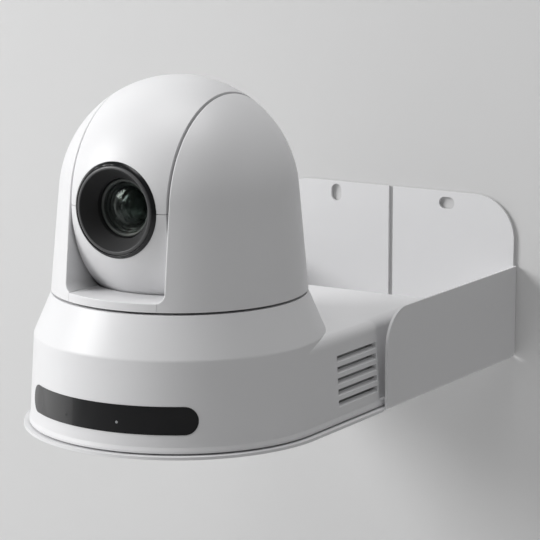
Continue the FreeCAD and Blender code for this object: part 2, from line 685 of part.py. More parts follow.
def video_socket():
    """Coaxial connector: a barrel with a hollow mouth and a centre contact."""
    x, radius = ROUND_SOCKETS["video_socket"]
    z = FOOT_Z + SOCKET_MIDDLE
    face = BOX_REAR - REAR_RECESS
    root = face + VIDEO_NUT_PROUD
    end = root + VIDEO_PIN_LENGTH
    nut = cylinder_y(radius, face - SOCKET_DEPTH, root, x, z)
    barrel = cylinder_y(VIDEO_PIN_RADIUS, face, end, x, z)
    mouth = cylinder_y(VIDEO_PIN_RADIUS - VIDEO_PIN_WALL, root, end + 1, x, z)
    contact = cylinder_y(SOCKET_CONTACT, face, end - SOCKET_CONTACT, x, z)
    return one_solid(nut.fuse(barrel).cut(mouth).fuse(contact))


def power_socket():
    """Round low-voltage inlet with a centre pin."""
    x, radius = ROUND_SOCKETS["power_socket"]
    z = FOOT_Z + SOCKET_MIDDLE
    face = BOX_REAR - REAR_RECESS + SOCKET_PROUD
    rear = face - SOCKET_DEPTH
    body = cylinder_y(radius, rear, face, x, z)
    mouth = cylinder_y(radius - 2 * SOCKET_WALL, rear + 2 * SOCKET_WALL, face + 1, x, z)
    pin = cylinder_y(SOCKET_CONTACT, rear + SOCKET_WALL, face - SOCKET_CONTACT, x, z)
    return one_solid(body.cut(mouth).fuse(pin))


# Pan drive

def pan_frame():
    """Plate on four pillars that carries the spindle and the pan motor."""
    plate = cylinder_z(FRAME_RADIUS, FRAME_Z, FRAME_TOP)
    pillars = [cylinder_z(PILLAR_RADIUS, FLOOR_TOP, FRAME_Z, x, y) for x, y in pillar_places()]
    shoulder = cylinder_z(SPINDLE_RADIUS + 2, FRAME_TOP, HUB_Z - 2 * RUNNING_CLEARANCE)
    top = TURNTABLE_TOP + 2 * CLIP_HEIGHT + YOKE_SHEET
    spindle = cylinder_z(SPINDLE_RADIUS, FRAME_TOP, top)
    clip_z = top - 2 * CLIP_HEIGHT
    groove = ring_z(SPINDLE_RADIUS + 1, SPINDLE_RADIUS - CLIP_DEPTH, clip_z, clip_z + CLIP_HEIGHT)
    cuts = [cylinder_z(SPINDLE_BORE, FRAME_Z - 1, top + 1), groove,
            cylinder_z(2 * MOTOR_SHAFT_RADIUS, FRAME_Z - 1, FRAME_TOP + 1, -PAN_CENTRES, 0)]
    return one_solid(plate.fuse(pillars + [shoulder, spindle]).cut(cuts))


def retaining_clip():
    """Open ring in the groove at the top of the spindle."""
    top = TURNTABLE_TOP + 2 * CLIP_HEIGHT + YOKE_SHEET
    clip_z = top - 2 * CLIP_HEIGHT
    seat = SPINDLE_RADIUS - CLIP_DEPTH + THREAD_CLEARANCE
    ring = ring_z(SPINDLE_RADIUS + CLIP_WIDTH, seat, clip_z + THREAD_CLEARANCE,
                  clip_z + CLIP_HEIGHT - THREAD_CLEARANCE)
    mouth = block(0, FAR, -CLIP_WIDTH, CLIP_WIDTH, clip_z - 1, clip_z + CLIP_HEIGHT + 1)
    return one_solid(ring.cut(mouth))


def pan_bearing():
    """Ball bearing, closed: two races and the shield between them are one ring here."""
    inner = SPINDLE_RADIUS + RUNNING_CLEARANCE
    outer = BEARING_RADIUS - THREAD_CLEARANCE
    middle = (inner + outer) / 2
    ring = ring_z(outer, inner, HUB_Z, HUB_Z + BEARING_HEIGHT)
    grooves = [ring_z(middle + 2, middle - 2, z, z + 0.4)
               for z in (HUB_Z - 0.1, HUB_Z + BEARING_HEIGHT - 0.3)]
    return one_solid(ring.cut(grooves))


def turntable():
    """Dish that carries the head: hub over the bearing, plate, and a rim up to the covers."""
    hub = ring_z(HUB_RADIUS, BEARING_RADIUS, HUB_Z, TURNTABLE_Z)
    plate = cylinder_z(TURNTABLE_RADIUS, TURNTABLE_Z, TURNTABLE_TOP)
    rim = ring_z(TURNTABLE_RADIUS, TURNTABLE_RADIUS - TURNTABLE_RIM, TURNTABLE_Z, SKIRT_Z)
    bore = cylinder_z(SPINDLE_RADIUS + 1, HUB_Z - 1, TURNTABLE_TOP + 1)
    shoulder = ring_z(HUB_RADIUS, SPINDLE_RADIUS + 3, HUB_Z + BEARING_HEIGHT, TURNTABLE_Z)
    return one_solid(hub.fuse([plate, rim, shoulder]).cut(bore))


def involute(angle):
    return math.tan(angle) - angle


def gear_corners(teeth, module, first):
    """Spur gear outline: straight root and tip lands, each flank three chords of an involute."""
    pitch = module * teeth / 2
    base = pitch * math.cos(math.radians(20))
    root = pitch - 1.25 * module
    tip = pitch + 0.95 * module
    half = math.pi / (2 * teeth) - BACKLASH / (4 * pitch) + involute(math.radians(20))
    low = max(base, root)
    flank = [(r, half - involute(math.acos(min(1.0, base / r)))) for r in (low, pitch, tip)]
    if root < low:
        flank.insert(0, (root, flank[0][1]))
    corners = []
    for i in range(teeth):
        middle = first + i * 2 * math.pi / teeth
        tooth = [(r, middle - a) for r, a in flank] + [(r, middle + a) for r, a in reversed(flank)]
        corners += [(r * math.cos(a), r * math.sin(a)) for r, a in tooth]
    return corners


def pan_gear():
    """Gear fixed round the turntable's hub; a tooth points at the pinion."""
    corners = gear_corners(PAN_TEETH, PAN_MODULE, math.pi)
    gear = prism(corners, on_xy(PAN_GEAR_Z), Z_AXIS * GEAR_WIDTH)
    bore = cylinder_z(HUB_RADIUS + THREAD_CLEARANCE, PAN_GEAR_Z - 1, PAN_GEAR_Z + GEAR_WIDTH + 1)
    return one_solid(gear.cut(bore))


def pan_pinion():
    """Motor pinion with its shaft; a gap between teeth faces the gear."""
    corners = [(x - PAN_CENTRES, y)
               for x, y in gear_corners(PAN_PINION_TEETH, PAN_MODULE, math.pi / PAN_PINION_TEETH)]
    gear = prism(corners, on_xy(PAN_GEAR_Z), Z_AXIS * GEAR_WIDTH)
    low = FRAME_Z - MOTOR_SHAFT_DEPTH
    shaft = cylinder_z(MOTOR_SHAFT_RADIUS, low, PAN_GEAR_Z + GEAR_WIDTH / 2, -PAN_CENTRES, 0)
    return one_solid(gear.fuse(shaft))


def pan_motor():
    """Stepping motor under the frame plate, bored for the pinion's shaft."""
    x = -PAN_CENTRES
    can = cylinder_z(PAN_MOTOR_RADIUS, FRAME_Z - PAN_MOTOR_LENGTH, FRAME_Z, x, 0)
    waist = ring_z(PAN_MOTOR_RADIUS + 1, PAN_MOTOR_RADIUS - 0.5, FRAME_Z - PAN_MOTOR_LENGTH / 2 - 0.5,
                   FRAME_Z - PAN_MOTOR_LENGTH / 2 + 0.5, x, 0)
    bore = cylinder_z(MOTOR_SHAFT_RADIUS + RUNNING_CLEARANCE, FRAME_Z - MOTOR_SHAFT_DEPTH - 1,
                      FRAME_Z + 1, x, 0)
    return one_solid(can.cut([waist, bore]))


# Head covers

def dome(inset, low):
    """Dome of the head: part of a sphere about the tilt axis, flaring straight to the skirt."""
    radius = WHEEL_RADIUS - inset
    foot = SKIRT_RADIUS - inset
    drop = TILT_Z - SKIRT_Z
    turn = math.acos(radius / math.hypot(foot, drop)) - math.atan2(drop, foot)
    touch = vec(radius * math.cos(turn), 0, TILT_Z + radius * math.sin(turn))
    rise = (math.pi / 2 + turn) / 2
    middle = vec(radius * math.cos(rise), 0, TILT_Z + radius * math.sin(rise))
    top = vec(0, 0, TILT_Z + radius)
    ends = [vec(0, 0, low), vec(foot, 0, low), vec(foot, 0, SKIRT_Z), touch]
    ends = [p for i, p in enumerate(ends) if i == 0 or p.distanceToPoint(ends[i - 1]) > 1e-6]
    edges = [Part.LineSegment(a, b).toShape() for a, b in zip(ends, ends[1:])]
    edges += [Part.Arc(touch, middle, top).toShape(), Part.LineSegment(top, ends[0]).toShape()]
    return Part.Face(Part.Wire(edges)).revolve(vec(0, 0, 0), Z_AXIS, 360)


def ball(radius):
    return Part.makeSphere(radius, vec(0, 0, TILT_Z))


def channel(floor, y0, y1):
    """Room between the arms, above a floor with rounded corners."""
    top = TILT_Z + 2 * WHEEL_RADIUS
    corners = [(-ARM_INNER, floor, POCKET_CORNER), (ARM_INNER, floor, POCKET_CORNER),
               (ARM_INNER, top), (-ARM_INNER, top)]
    return prism(corners, on_xz(y0), Y_AXIS * (y1 - y0))


def head_form():
    """All covers of the head as one body, open between the arms, its outer edges rounded."""
    outside = dome(0, SKIRT_Z)
    room = ball(WHEEL_RADIUS + WHEEL_ROUND_GAP).common(slab_x(-ARM_INNER, ARM_INNER))
    form = outside.cut([channel(POCKET_Z, -FAR, 0), channel(REAR_COVER_Z, 0, FAR), room])
    form = form.removeSplitter()
    rims = []
    for edge in form.Edges:
        middle = edge.valueAt((edge.FirstParameter + edge.LastParameter) / 2)
        if abs(middle.x) > ARM_INNER + TOUCH or middle.z < POCKET_Z - TOUCH:
            continue
        if outside.Shells[0].distToShape(Part.Vertex(middle))[0] < TOUCH:
            rims.append(edge)
    return form.makeFillet(ARM_EDGE, rims)


def right_arm_cover():
    """Right arm: outer dome and inner wall, open below, with a hole for the bush."""
    outer = head_form().common(slab_x(SKIRT_SPLIT, FAR))
    hollow = dome(HEAD_WALL, SKIRT_Z - 1).common(slab_x(ARM_INNER + HEAD_WALL, FAR))
    hole = cylinder_x(BUSH_FLANGE + 1, 0, ARM_INNER + HEAD_WALL + 1, 0, TILT_Z)
    return one_solid(outer.cut([hollow, hole]))


def left_arm_cover():
    return mirrored(right_arm_cover())


def middle_cover(y0, y1, top):
    """Cover between the arms on one side of the tilt unit, hollow from below."""
    half = SKIRT_SPLIT - SPLIT_GAP
    outer = head_form().common(block(-half, half, y0, y1, SKIRT_Z, top))
    hollow = dome(HEAD_WALL, SKIRT_Z - 1)
    hollow = hollow.common(block(HEAD_WALL - half, half - HEAD_WALL, y0, y1, SKIRT_Z - 1, top - HEAD_WALL))
    hollow = hollow.cut(ball(WHEEL_RADIUS + WHEEL_ROUND_GAP + HEAD_WALL))
    return one_solid(outer.cut(hollow))


def front_skirt():
    return middle_cover(-FAR, 0, POCKET_Z)


def rear_cover():
    return middle_cover(0, FAR, REAR_COVER_Z)


# Yoke and tilt drive

def yoke_frame():
    """Folded steel yoke: a base on the turntable and an upright beside each arm's inner wall."""
    low = TURNTABLE_TOP
    base = block(-YOKE_OUTER, YOKE_OUTER, -YOKE_HALF_WIDTH, YOKE_HALF_WIDTH, low, low + YOKE_SHEET)
    top = TILT_Z + BUSH_FLANGE + 4
    corners = [(-YOKE_HALF_WIDTH, low), (YOKE_HALF_WIDTH, low),
               (YOKE_HALF_WIDTH, top, YOKE_HALF_WIDTH / 2), (-YOKE_HALF_WIDTH, top, YOKE_HALF_WIDTH / 2)]
    upright = prism(corners, on_yz(YOKE_INNER), X_AXIS * YOKE_SHEET)
    cuts = [cylinder_x(BUSH_RADIUS, -FAR, FAR, 0, TILT_Z),
            cylinder_z(SPINDLE_RADIUS + CLIP_WIDTH + 1, low - 1, low + YOKE_SHEET + 1)]
    cuts += [cylinder_z(SMALL_SCREW_RADIUS + SCREW_CLEARANCE, low - 1, low + YOKE_SHEET + 1, x, y)
             for x, y in yoke_screw_places()]
    return one_solid(base.fuse(both_sides(upright)).cut(cuts))


def yoke_screw_places():
    half = YOKE_SCREW_SPACING / 2
    return [(sx * 1.6 * half, sy * half) for sx in (-1, 1) for sy in (-1, 1)]


def yoke_screws():
    """Four screws that hold the yoke down on the turntable."""
    low = TURNTABLE_TOP + YOKE_SHEET
    screws = []
    for x, y in yoke_screw_places():
        head = cylinder_z(SMALL_HEAD_RADIUS, low, low + SMALL_HEAD_HEIGHT, x, y)
        shank = cylinder_z(SMALL_SCREW_RADIUS, TURNTABLE_TOP, low, x, y)
        drive = hexagon(SMALL_DRIVE_RADIUS, x, y, low + SMALL_HEAD_HEIGHT / 2, low + SMALL_HEAD_HEIGHT + 1)
        screws.append(head.fuse(shank).cut(drive))
    return group(screws)


def tilt_bush():
    """Flanged bush in the yoke's right upright, round the tilt shaft."""
    low = ARM_INNER + WHEEL_SIDE_GAP
    body = cylinder_x(BUSH_RADIUS - THREAD_CLEARANCE, low, YOKE_OUTER + BUSH_FLANGE_HEIGHT, 0, TILT_Z)
    flange = cylinder_x(BUSH_FLANGE, YOKE_OUTER, YOKE_OUTER + BUSH_FLANGE_HEIGHT, 0, TILT_Z)
    bore = cylinder_x(SHAFT_RADIUS + RUNNING_CLEARANCE, low - 1, YOKE_OUTER + 2 * BUSH_FLANGE_HEIGHT,
                      0, TILT_Z)
    return body.fuse(flange).cut(bore)


def tilt_bushes():
    return group([tilt_bush(), mirrored(tilt_bush())])


def tilt_shaft(end):
    """Stub shaft with a flange against the inside of the tilt unit's side wall."""
    seat = WHEEL_HALF - SHELL_WALL
    flange = cylinder_x(SHAFT_FLANGE, seat - SHAFT_FLANGE_HEIGHT, seat, 0, TILT_Z)
    shaft = cylinder_x(SHAFT_RADIUS, seat - SHAFT_FLANGE_HEIGHT, end, 0, TILT_Z)
    bore = cylinder_x(SHAFT_RADIUS / 2, seat - 2 * SHAFT_FLANGE_HEIGHT, end + 1, 0, TILT_Z)
    return one_solid(flange.fuse(shaft).cut(bore))


def right_tilt_shaft():
    return tilt_shaft(TILT_GEAR_X + TILT_GEAR_WIDTH)


def left_tilt_shaft():
    return mirrored(tilt_shaft(YOKE_OUTER + 2 * BUSH_FLANGE_HEIGHT))


def tilt_gear():
    """Gear on the right tilt shaft; a tooth points down at the pinion."""
    corners = gear_corners(TILT_TEETH, TILT_MODULE, -math.pi / 2)
    gear = prism([(y, z + TILT_Z) for y, z in corners], on_yz(TILT_GEAR_X), X_AXIS * TILT_GEAR_WIDTH)
    bore = cylinder_x(SHAFT_RADIUS + THREAD_CLEARANCE, TILT_GEAR_X - 1, TILT_GEAR_X + TILT_GEAR_WIDTH + 1,
                      0, TILT_Z)
    return one_solid(gear.cut(bore))


def tilt_motor_face():
    return TILT_GEAR_X + TILT_GEAR_WIDTH + MOTOR_BRACKET_GAP + MOTOR_BRACKET_SHEET


def tilt_pinion():
    """Motor pinion with its shaft; a gap between teeth faces up to the gear."""
    first = math.pi / 2 + math.pi / TILT_PINION_TEETH
    corners = gear_corners(TILT_PINION_TEETH, TILT_MODULE, first)
    gear = prism([(y, z + TILT_MOTOR_Z) for y, z in corners], on_yz(TILT_GEAR_X),
                 X_AXIS * TILT_GEAR_WIDTH)
    end = tilt_motor_face() + TILT_SHAFT_DEPTH
    shaft = cylinder_x(MOTOR_SHAFT_RADIUS, TILT_GEAR_X + 1, end, 0, TILT_MOTOR_Z)
    return one_solid(gear.fuse(shaft))


def tilt_motor():
    """Stepping motor outside its bracket, as long as the arm allows, bored for the pinion's shaft."""
    face = tilt_motor_face()
    room = math.sqrt((WHEEL_RADIUS - HEAD_WALL) ** 2 - TILT_MOTOR_RADIUS ** 2)
    can = cylinder_x(TILT_MOTOR_RADIUS, face, room - TILT_MOTOR_GAP, 0, TILT_MOTOR_Z)
    bore = cylinder_x(MOTOR_SHAFT_RADIUS + RUNNING_CLEARANCE, face - 1, face + TILT_SHAFT_DEPTH + 1,
                      0, TILT_MOTOR_Z)
    return one_solid(can.cut(bore))


def tilt_motor_bracket():
    """Folded bracket from the yoke's right upright to the face of the tilt motor."""
    face = tilt_motor_face()
    half = TILT_MOTOR_RADIUS
    tip = TILT_MODULE * TILT_PINION_TEETH / 2 + TILT_MODULE
    low = TILT_MOTOR_Z - tip - MOTOR_BRACKET_GAP - MOTOR_BRACKET_SHEET
    plate = block(face - MOTOR_BRACKET_SHEET, face, -half, half, low, TILT_MOTOR_Z + half)
    foot = block(YOKE_OUTER, face, -half, half, low, low + MOTOR_BRACKET_SHEET)
    tab = block(YOKE_OUTER, YOKE_OUTER + MOTOR_BRACKET_SHEET, -half, half, low, low + half / 2)
    hole = cylinder_x(2 * MOTOR_SHAFT_RADIUS, face - 2 * MOTOR_BRACKET_SHEET, face + 1, 0, TILT_MOTOR_Z)
    return one_solid(plate.fuse([foot, tab]).cut(hole))


# Tilt unit

def tilt_shell():
    """Both shells of the tilt unit before they are parted: a slice of the ball, hollow inside."""
    outer = ball(WHEEL_RADIUS).common(slab_x(-WHEEL_HALF, WHEEL_HALF))
    rims = [e for e in outer.Edges if e.Length > WHEEL_RADIUS * 4 and abs(e.CenterOfMass.x) > 1]
    outer = outer.makeFillet(WHEEL_EDGE, rims)
    inside = WHEEL_HALF - SHELL_WALL
    inner = ball(WHEEL_RADIUS - SHELL_WALL).common(slab_x(-inside, inside))
    bezel = cylinder_y(BEZEL_RADIUS, -FAR, -WHEEL_RADIUS / 2, 0, TILT_Z)
    shafts = cylinder_x(SHAFT_RADIUS + THREAD_CLEARANCE, -FAR, FAR, 0, TILT_Z)
    return outer.cut([inner, bezel, shafts])


def upper_shell():
    part = tilt_shell().common(block(-FAR, FAR, -FAR, FAR, TILT_Z + SHELL_SPLIT / 2, FAR))
    return part.Solids[0]


def lower_shell():
    part = tilt_shell().common(block(-FAR, FAR, -FAR, FAR, 0, TILT_Z - SHELL_SPLIT / 2))
    return part.Solids[0]


def bezel_seat():
    """Distance ahead of the tilt axis at which the bezel's edge meets the ball."""
    return math.sqrt(WHEEL_RADIUS ** 2 - BEZEL_RADIUS ** 2)


def lens_bezel():
    """Black ring in the front of the tilt unit, with a flange behind the shells."""
    radius = BEZEL_RADIUS - BEZEL_CLEARANCE
    seat = bezel_seat()
    front = seat + BEZEL_PROUD
    land = math.sqrt((WHEEL_RADIUS - SHELL_WALL) ** 2 - (radius + BEZEL_FLANGE) ** 2) - 0.2
    rear = land - BEZEL_FLANGE / 2
    return one_solid(turned_lens([
        (BEZEL_INNER, rear), (radius + BEZEL_FLANGE, rear), (radius + BEZEL_FLANGE, land), (radius, land),
        (radius, seat), (radius - BEZEL_PROUD, front, 0.3), (BEZEL_INNER, front, 0.4)]))


def lens_hood():
    """Dark funnel from the bezel down to the lens barrel."""
    seat = bezel_seat()
    front = seat + BEZEL_PROUD - 1.2
    rear = front - HOOD_DEPTH
    radius = BEZEL_INNER - THREAD_CLEARANCE
    return one_solid(turned_lens([
        (HOOD_REAR_RADIUS, rear), (HOOD_REAR_RADIUS + HOOD_WALL, rear), (radius, rear + HOOD_DEPTH / 2),
        (radius, front), (radius - HOOD_WALL / 2, front)]))


def lens_barrel():
    """Front of the zoom lens, stepped in towards the glass."""
    corners = [(0, BLOCK_FRONT), (BARREL_RADIUS, BLOCK_FRONT), (BARREL_RADIUS, BARREL_FRONT, 0.5)]
    corners += [(radius, BARREL_FRONT - max(0.0, depth - 0.5)) for radius, depth in BARREL_STEPS]
    floor = BARREL_FRONT - BARREL_STEPS[-1][1] - LENS_THICKNESS
    corners += [(BARREL_STEPS[-1][0], floor), (0, floor)]
    return one_solid(turned_lens(corners))


def front_lens():
    """Convex front glass, seated on the floor of the barrel."""
    floor = BARREL_FRONT - BARREL_STEPS[-1][1] - LENS_THICKNESS
    rim = floor + LENS_THICKNESS
    radius = LENS_RADIUS
    points = [(0, floor), (radius, floor), (radius, rim)]
    place = [vec(r, -d, TILT_Z) for r, d in points]
    crown = vec(0, -(rim + LENS_CROWN), TILT_Z)
    bow = (radius ** 2 + LENS_CROWN ** 2) / (2 * LENS_CROWN)
    half = math.asin(radius / bow) / 2
    middle = vec(bow * math.sin(half), -(rim + LENS_CROWN - bow + bow * math.cos(half)), TILT_Z)
    edges = [Part.LineSegment(a, b).toShape() for a, b in zip(place, place[1:])]
    edges += [Part.Arc(place[-1], middle, crown).toShape(), Part.LineSegment(crown, place[0]).toShape()]
    return Part.Face(Part.Wire(edges)).revolve(vec(0, 0, TILT_Z), Y_AXIS, 360)


def camera_block():
    """Zoom camera module behind the barrel."""
    body = block(-BLOCK_HALF_WIDTH, BLOCK_HALF_WIDTH, -BLOCK_FRONT, BLOCK_REAR,
                 TILT_Z - BLOCK_HALF_HEIGHT, TILT_Z + BLOCK_HALF_HEIGHT)
    long_edges = [e for e in body.Edges if abs(e.tangentAt(e.FirstParameter).y) > 0.9]
    return one_solid(body.makeFillet(BLOCK_EDGE, long_edges))


def sensor_board():
    half = BLOCK_HALF_WIDTH - BLOCK_EDGE
    return block(-half, half, BLOCK_REAR, BLOCK_REAR + SENSOR_BOARD, TILT_Z - BLOCK_HALF_HEIGHT + BLOCK_EDGE,
                 TILT_Z + BLOCK_HALF_HEIGHT - BLOCK_EDGE)


def tilt_frame():
    """Folded cradle under the camera block, hung between the flanges of the two shafts."""
    outer = WHEEL_HALF - SHELL_WALL - SHAFT_FLANGE_HEIGHT
    inner = outer - TILT_FRAME_SHEET
    low = TILT_Z - BLOCK_HALF_HEIGHT - TILT_FRAME_SHEET
    base = block(-outer, outer, -TILT_FRAME_HALF, TILT_FRAME_HALF, low, low + TILT_FRAME_SHEET)
    corners = [(-TILT_FRAME_HALF, low), (TILT_FRAME_HALF, low),
               (TILT_FRAME_HALF, TILT_Z + TILT_FRAME_HALF, TILT_FRAME_HALF / 2),
               (-TILT_FRAME_HALF, TILT_Z + TILT_FRAME_HALF, TILT_FRAME_HALF / 2)]
    side = prism(corners, on_yz(inner), X_AXIS * TILT_FRAME_SHEET)
    return one_solid(base.fuse(both_sides(side)))


def nodes():
    """Every piece by its name."""
    return {
        "wall_bracket": wall_bracket(),
        "camera_screw": camera_screw(),
        "bracket_screws": bracket_screws(),
        "base_pads": base_pads(),
        "base_floor": base_floor(),
        "base_housing": base_housing(),
        "vent_baffles": vent_baffles(),
        "front_panel": front_panel(),
        "power_indicator": indicator_light("power_indicator"),
        "standby_indicator": indicator_light("standby_indicator"),
        "rear_connector_panel": rear_connector_panel(),
        "network_socket": rectangular_socket("network_socket"),
        "control_socket": rectangular_socket("control_socket"),
        "video_socket": video_socket(),
        "power_socket": power_socket(),
        "main_circuit_board": main_circuit_board(),
        "pan_frame": pan_frame(),
        "pan_motor": pan_motor(),
        "pan_pinion": pan_pinion(),
        "retaining_clip": retaining_clip(),
        "pan_bearing": pan_bearing(),
        "pan_gear": pan_gear(),
        "turntable": turntable(),
        "yoke_frame": yoke_frame(),
        "yoke_screws": yoke_screws(),
        "right_arm_cover": right_arm_cover(),
        "left_arm_cover": left_arm_cover(),
        "front_skirt": front_skirt(),
        "rear_cover": rear_cover(),
        "tilt_bushes": tilt_bushes(),
        "tilt_motor_bracket": tilt_motor_bracket(),
        "tilt_motor": tilt_motor(),
        "tilt_pinion": tilt_pinion(),
        "tilt_gear": tilt_gear(),
        "right_tilt_shaft": right_tilt_shaft(),
        "left_tilt_shaft": left_tilt_shaft(),
        "tilt_frame": tilt_frame(),
        "camera_block": camera_block(),
        "sensor_board": sensor_board(),
        "lens_barrel": lens_barrel(),
        "front_lens": front_lens(),
        "lens_hood": lens_hood(),
        "lens_bezel": lens_bezel(),
        "upper_shell": upper_shell(),
        "lower_shell": lower_shell(),
    }


def write_parts():
    os.makedirs("parts", exist_ok=True)
    to_part_frame = vec(0, -WALL_DISTANCE, -WALL_HOLE_HEIGHT)
    for name, shape in nodes().items():
        shape.translate(to_part_frame)
        shape.exportStep("parts/" + name + ".step")
        box = shape.BoundBox
        print(f"{name:22s} solids {len(shape.Solids)} volume {shape.Volume:10.1f} valid {shape.isValid()}"
              f" x {box.XMin:.1f} {box.XMax:.1f} y {box.YMin:.1f} {box.YMax:.1f}"
              f" z {box.ZMin:.1f} {box.ZMax:.1f}")


write_parts()
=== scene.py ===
"""Looks of a folded wall bracket and of the pan-tilt camera that stands on it.

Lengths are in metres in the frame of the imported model: +Z is up, the wall is the plane y = 0, and the
camera on the bracket looks out along -Y.
"""

import logging
import math
from collections.abc import Callable, Iterable, Sequence
from dataclasses import dataclass
from enum import Enum
from functools import cache

import bpy
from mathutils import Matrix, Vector


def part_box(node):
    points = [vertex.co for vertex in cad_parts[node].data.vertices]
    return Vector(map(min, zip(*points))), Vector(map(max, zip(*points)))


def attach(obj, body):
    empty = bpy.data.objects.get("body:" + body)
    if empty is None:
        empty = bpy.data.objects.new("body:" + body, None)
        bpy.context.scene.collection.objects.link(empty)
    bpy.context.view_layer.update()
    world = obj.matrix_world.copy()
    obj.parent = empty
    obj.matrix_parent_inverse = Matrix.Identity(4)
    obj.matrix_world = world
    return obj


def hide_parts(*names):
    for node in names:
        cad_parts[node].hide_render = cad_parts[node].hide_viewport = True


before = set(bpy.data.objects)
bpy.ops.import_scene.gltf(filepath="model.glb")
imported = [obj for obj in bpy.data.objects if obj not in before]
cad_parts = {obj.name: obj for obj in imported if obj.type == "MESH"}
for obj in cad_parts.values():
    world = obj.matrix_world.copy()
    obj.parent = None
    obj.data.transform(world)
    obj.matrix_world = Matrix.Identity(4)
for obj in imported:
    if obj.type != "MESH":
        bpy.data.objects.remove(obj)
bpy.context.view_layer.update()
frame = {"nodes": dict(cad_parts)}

log = logging.getLogger("wall_camera")

MM = 0.001
UP = Vector((0.0, 0.0, 1.0))
AHEAD = Vector((0.0, -1.0, 0.0))
NEAR = MM / 100                     # lengths that differ by less count as the same
WELD = 1e-6                         # points closer than this are merged
FINE_ANGLE = math.radians(35.0)     # edges sharper than this stay crisp
EDGE_STEPS = 2                      # faces across a rounded edge
ROUND_STEPS = 160                   # sides of a turned piece
ARC_STEPS = 12                      # stretches of a shallow arc
CROWN_STEPS = 20                    # stretches of a lens face, from rim to pole
RIM_STEPS = 256                     # sides of the circle whose half is the shelf's front
FOLD_STEPS = 8                      # faces round a fold or a corner of the cable notch
CORNER_STEPS = 20                   # faces round a corner of a cheek or flange
HOLE_STEPS = 40                     # sides of a hole
MEAN = 0.5                          # what a noise wanders about
CLOUD_SIZE = 32 * MM                # size of the slow patches that every finish has
COAT_ROUGHNESS = 0.04
GLASS_ROUGHNESS = 0.04
GLASS_IOR = 1.6
MIX_LOW, MIX_HIGH, MIX_RESULT = 6, 7, 2     # colour sockets of the Mix node, whose names occur more than once
WALL_GAP = 0.8 * MM                 # from the sheet's back to the painted wall
FLOOR_HEIGHT = -0.45

Triple = tuple[float, float, float]
Colour = Triple
Point = tuple[float, float]
Profile = Sequence[Point]
Piece = bpy.types.Object
Socket = bpy.types.NodeSocket
Test = Callable[[Vector], bool]     # says of a vertex's place whether it is wanted


class Value:
    """A number socket of a shader, which Python expressions can use."""

    def __init__(self, recipe: "Recipe", socket: Socket) -> None:
        """Keep a socket and the recipe that it belongs to.

        Args:
            recipe: The shader that expressions add their nodes to.
            socket: The output that carries the number.
        """
        self.recipe = recipe
        self.socket = socket

    def _math(self, operation: str, left: "Value | float", right: "Value | float") -> "Value":
        """Add one Math node.

        Args:
            operation: The node's operation.
            left: Its first operand.
            right: Its second operand.

        Returns:
            The result.
        """
        node = self.recipe.add("ShaderNodeMath", {"operation": operation}, {0: left, 1: right})
        return Value(self.recipe, node.outputs[0])

    def __add__(self, other: "Value | float") -> "Value":
        """Sum."""
        return self._math("ADD", self, other)

    __radd__ = __add__

    def __sub__(self, other: "Value | float") -> "Value":
        """Difference."""
        return self._math("SUBTRACT", self, other)

    def __rsub__(self, other: float) -> "Value":
        """Difference from a number."""
        return self._math("SUBTRACT", other, self)

    def __mul__(self, other: "Value | float") -> "Value":
        """Product."""
        return self._math("MULTIPLY", self, other)

    __rmul__ = __mul__

    def swing(self, amount: float) -> "Value":
        """How far the number is from a noise's mean, times an amount."""
        return amount * (self - MEAN)

    def between(self, low: float, high: float) -> "Value":
        """Smooth step from 0 at `low` to 1 at `high`.

        Args:
            low: The number at which the step starts.
            high: The number at which it ends.

        Returns:
            The step.
        """
        node = self.recipe.add("ShaderNodeMapRange", {"interpolation_type": "SMOOTHSTEP"},
                               {"Value": self, "From Min": low, "From Max": high})
        return Value(self.recipe, node.outputs["Result"])


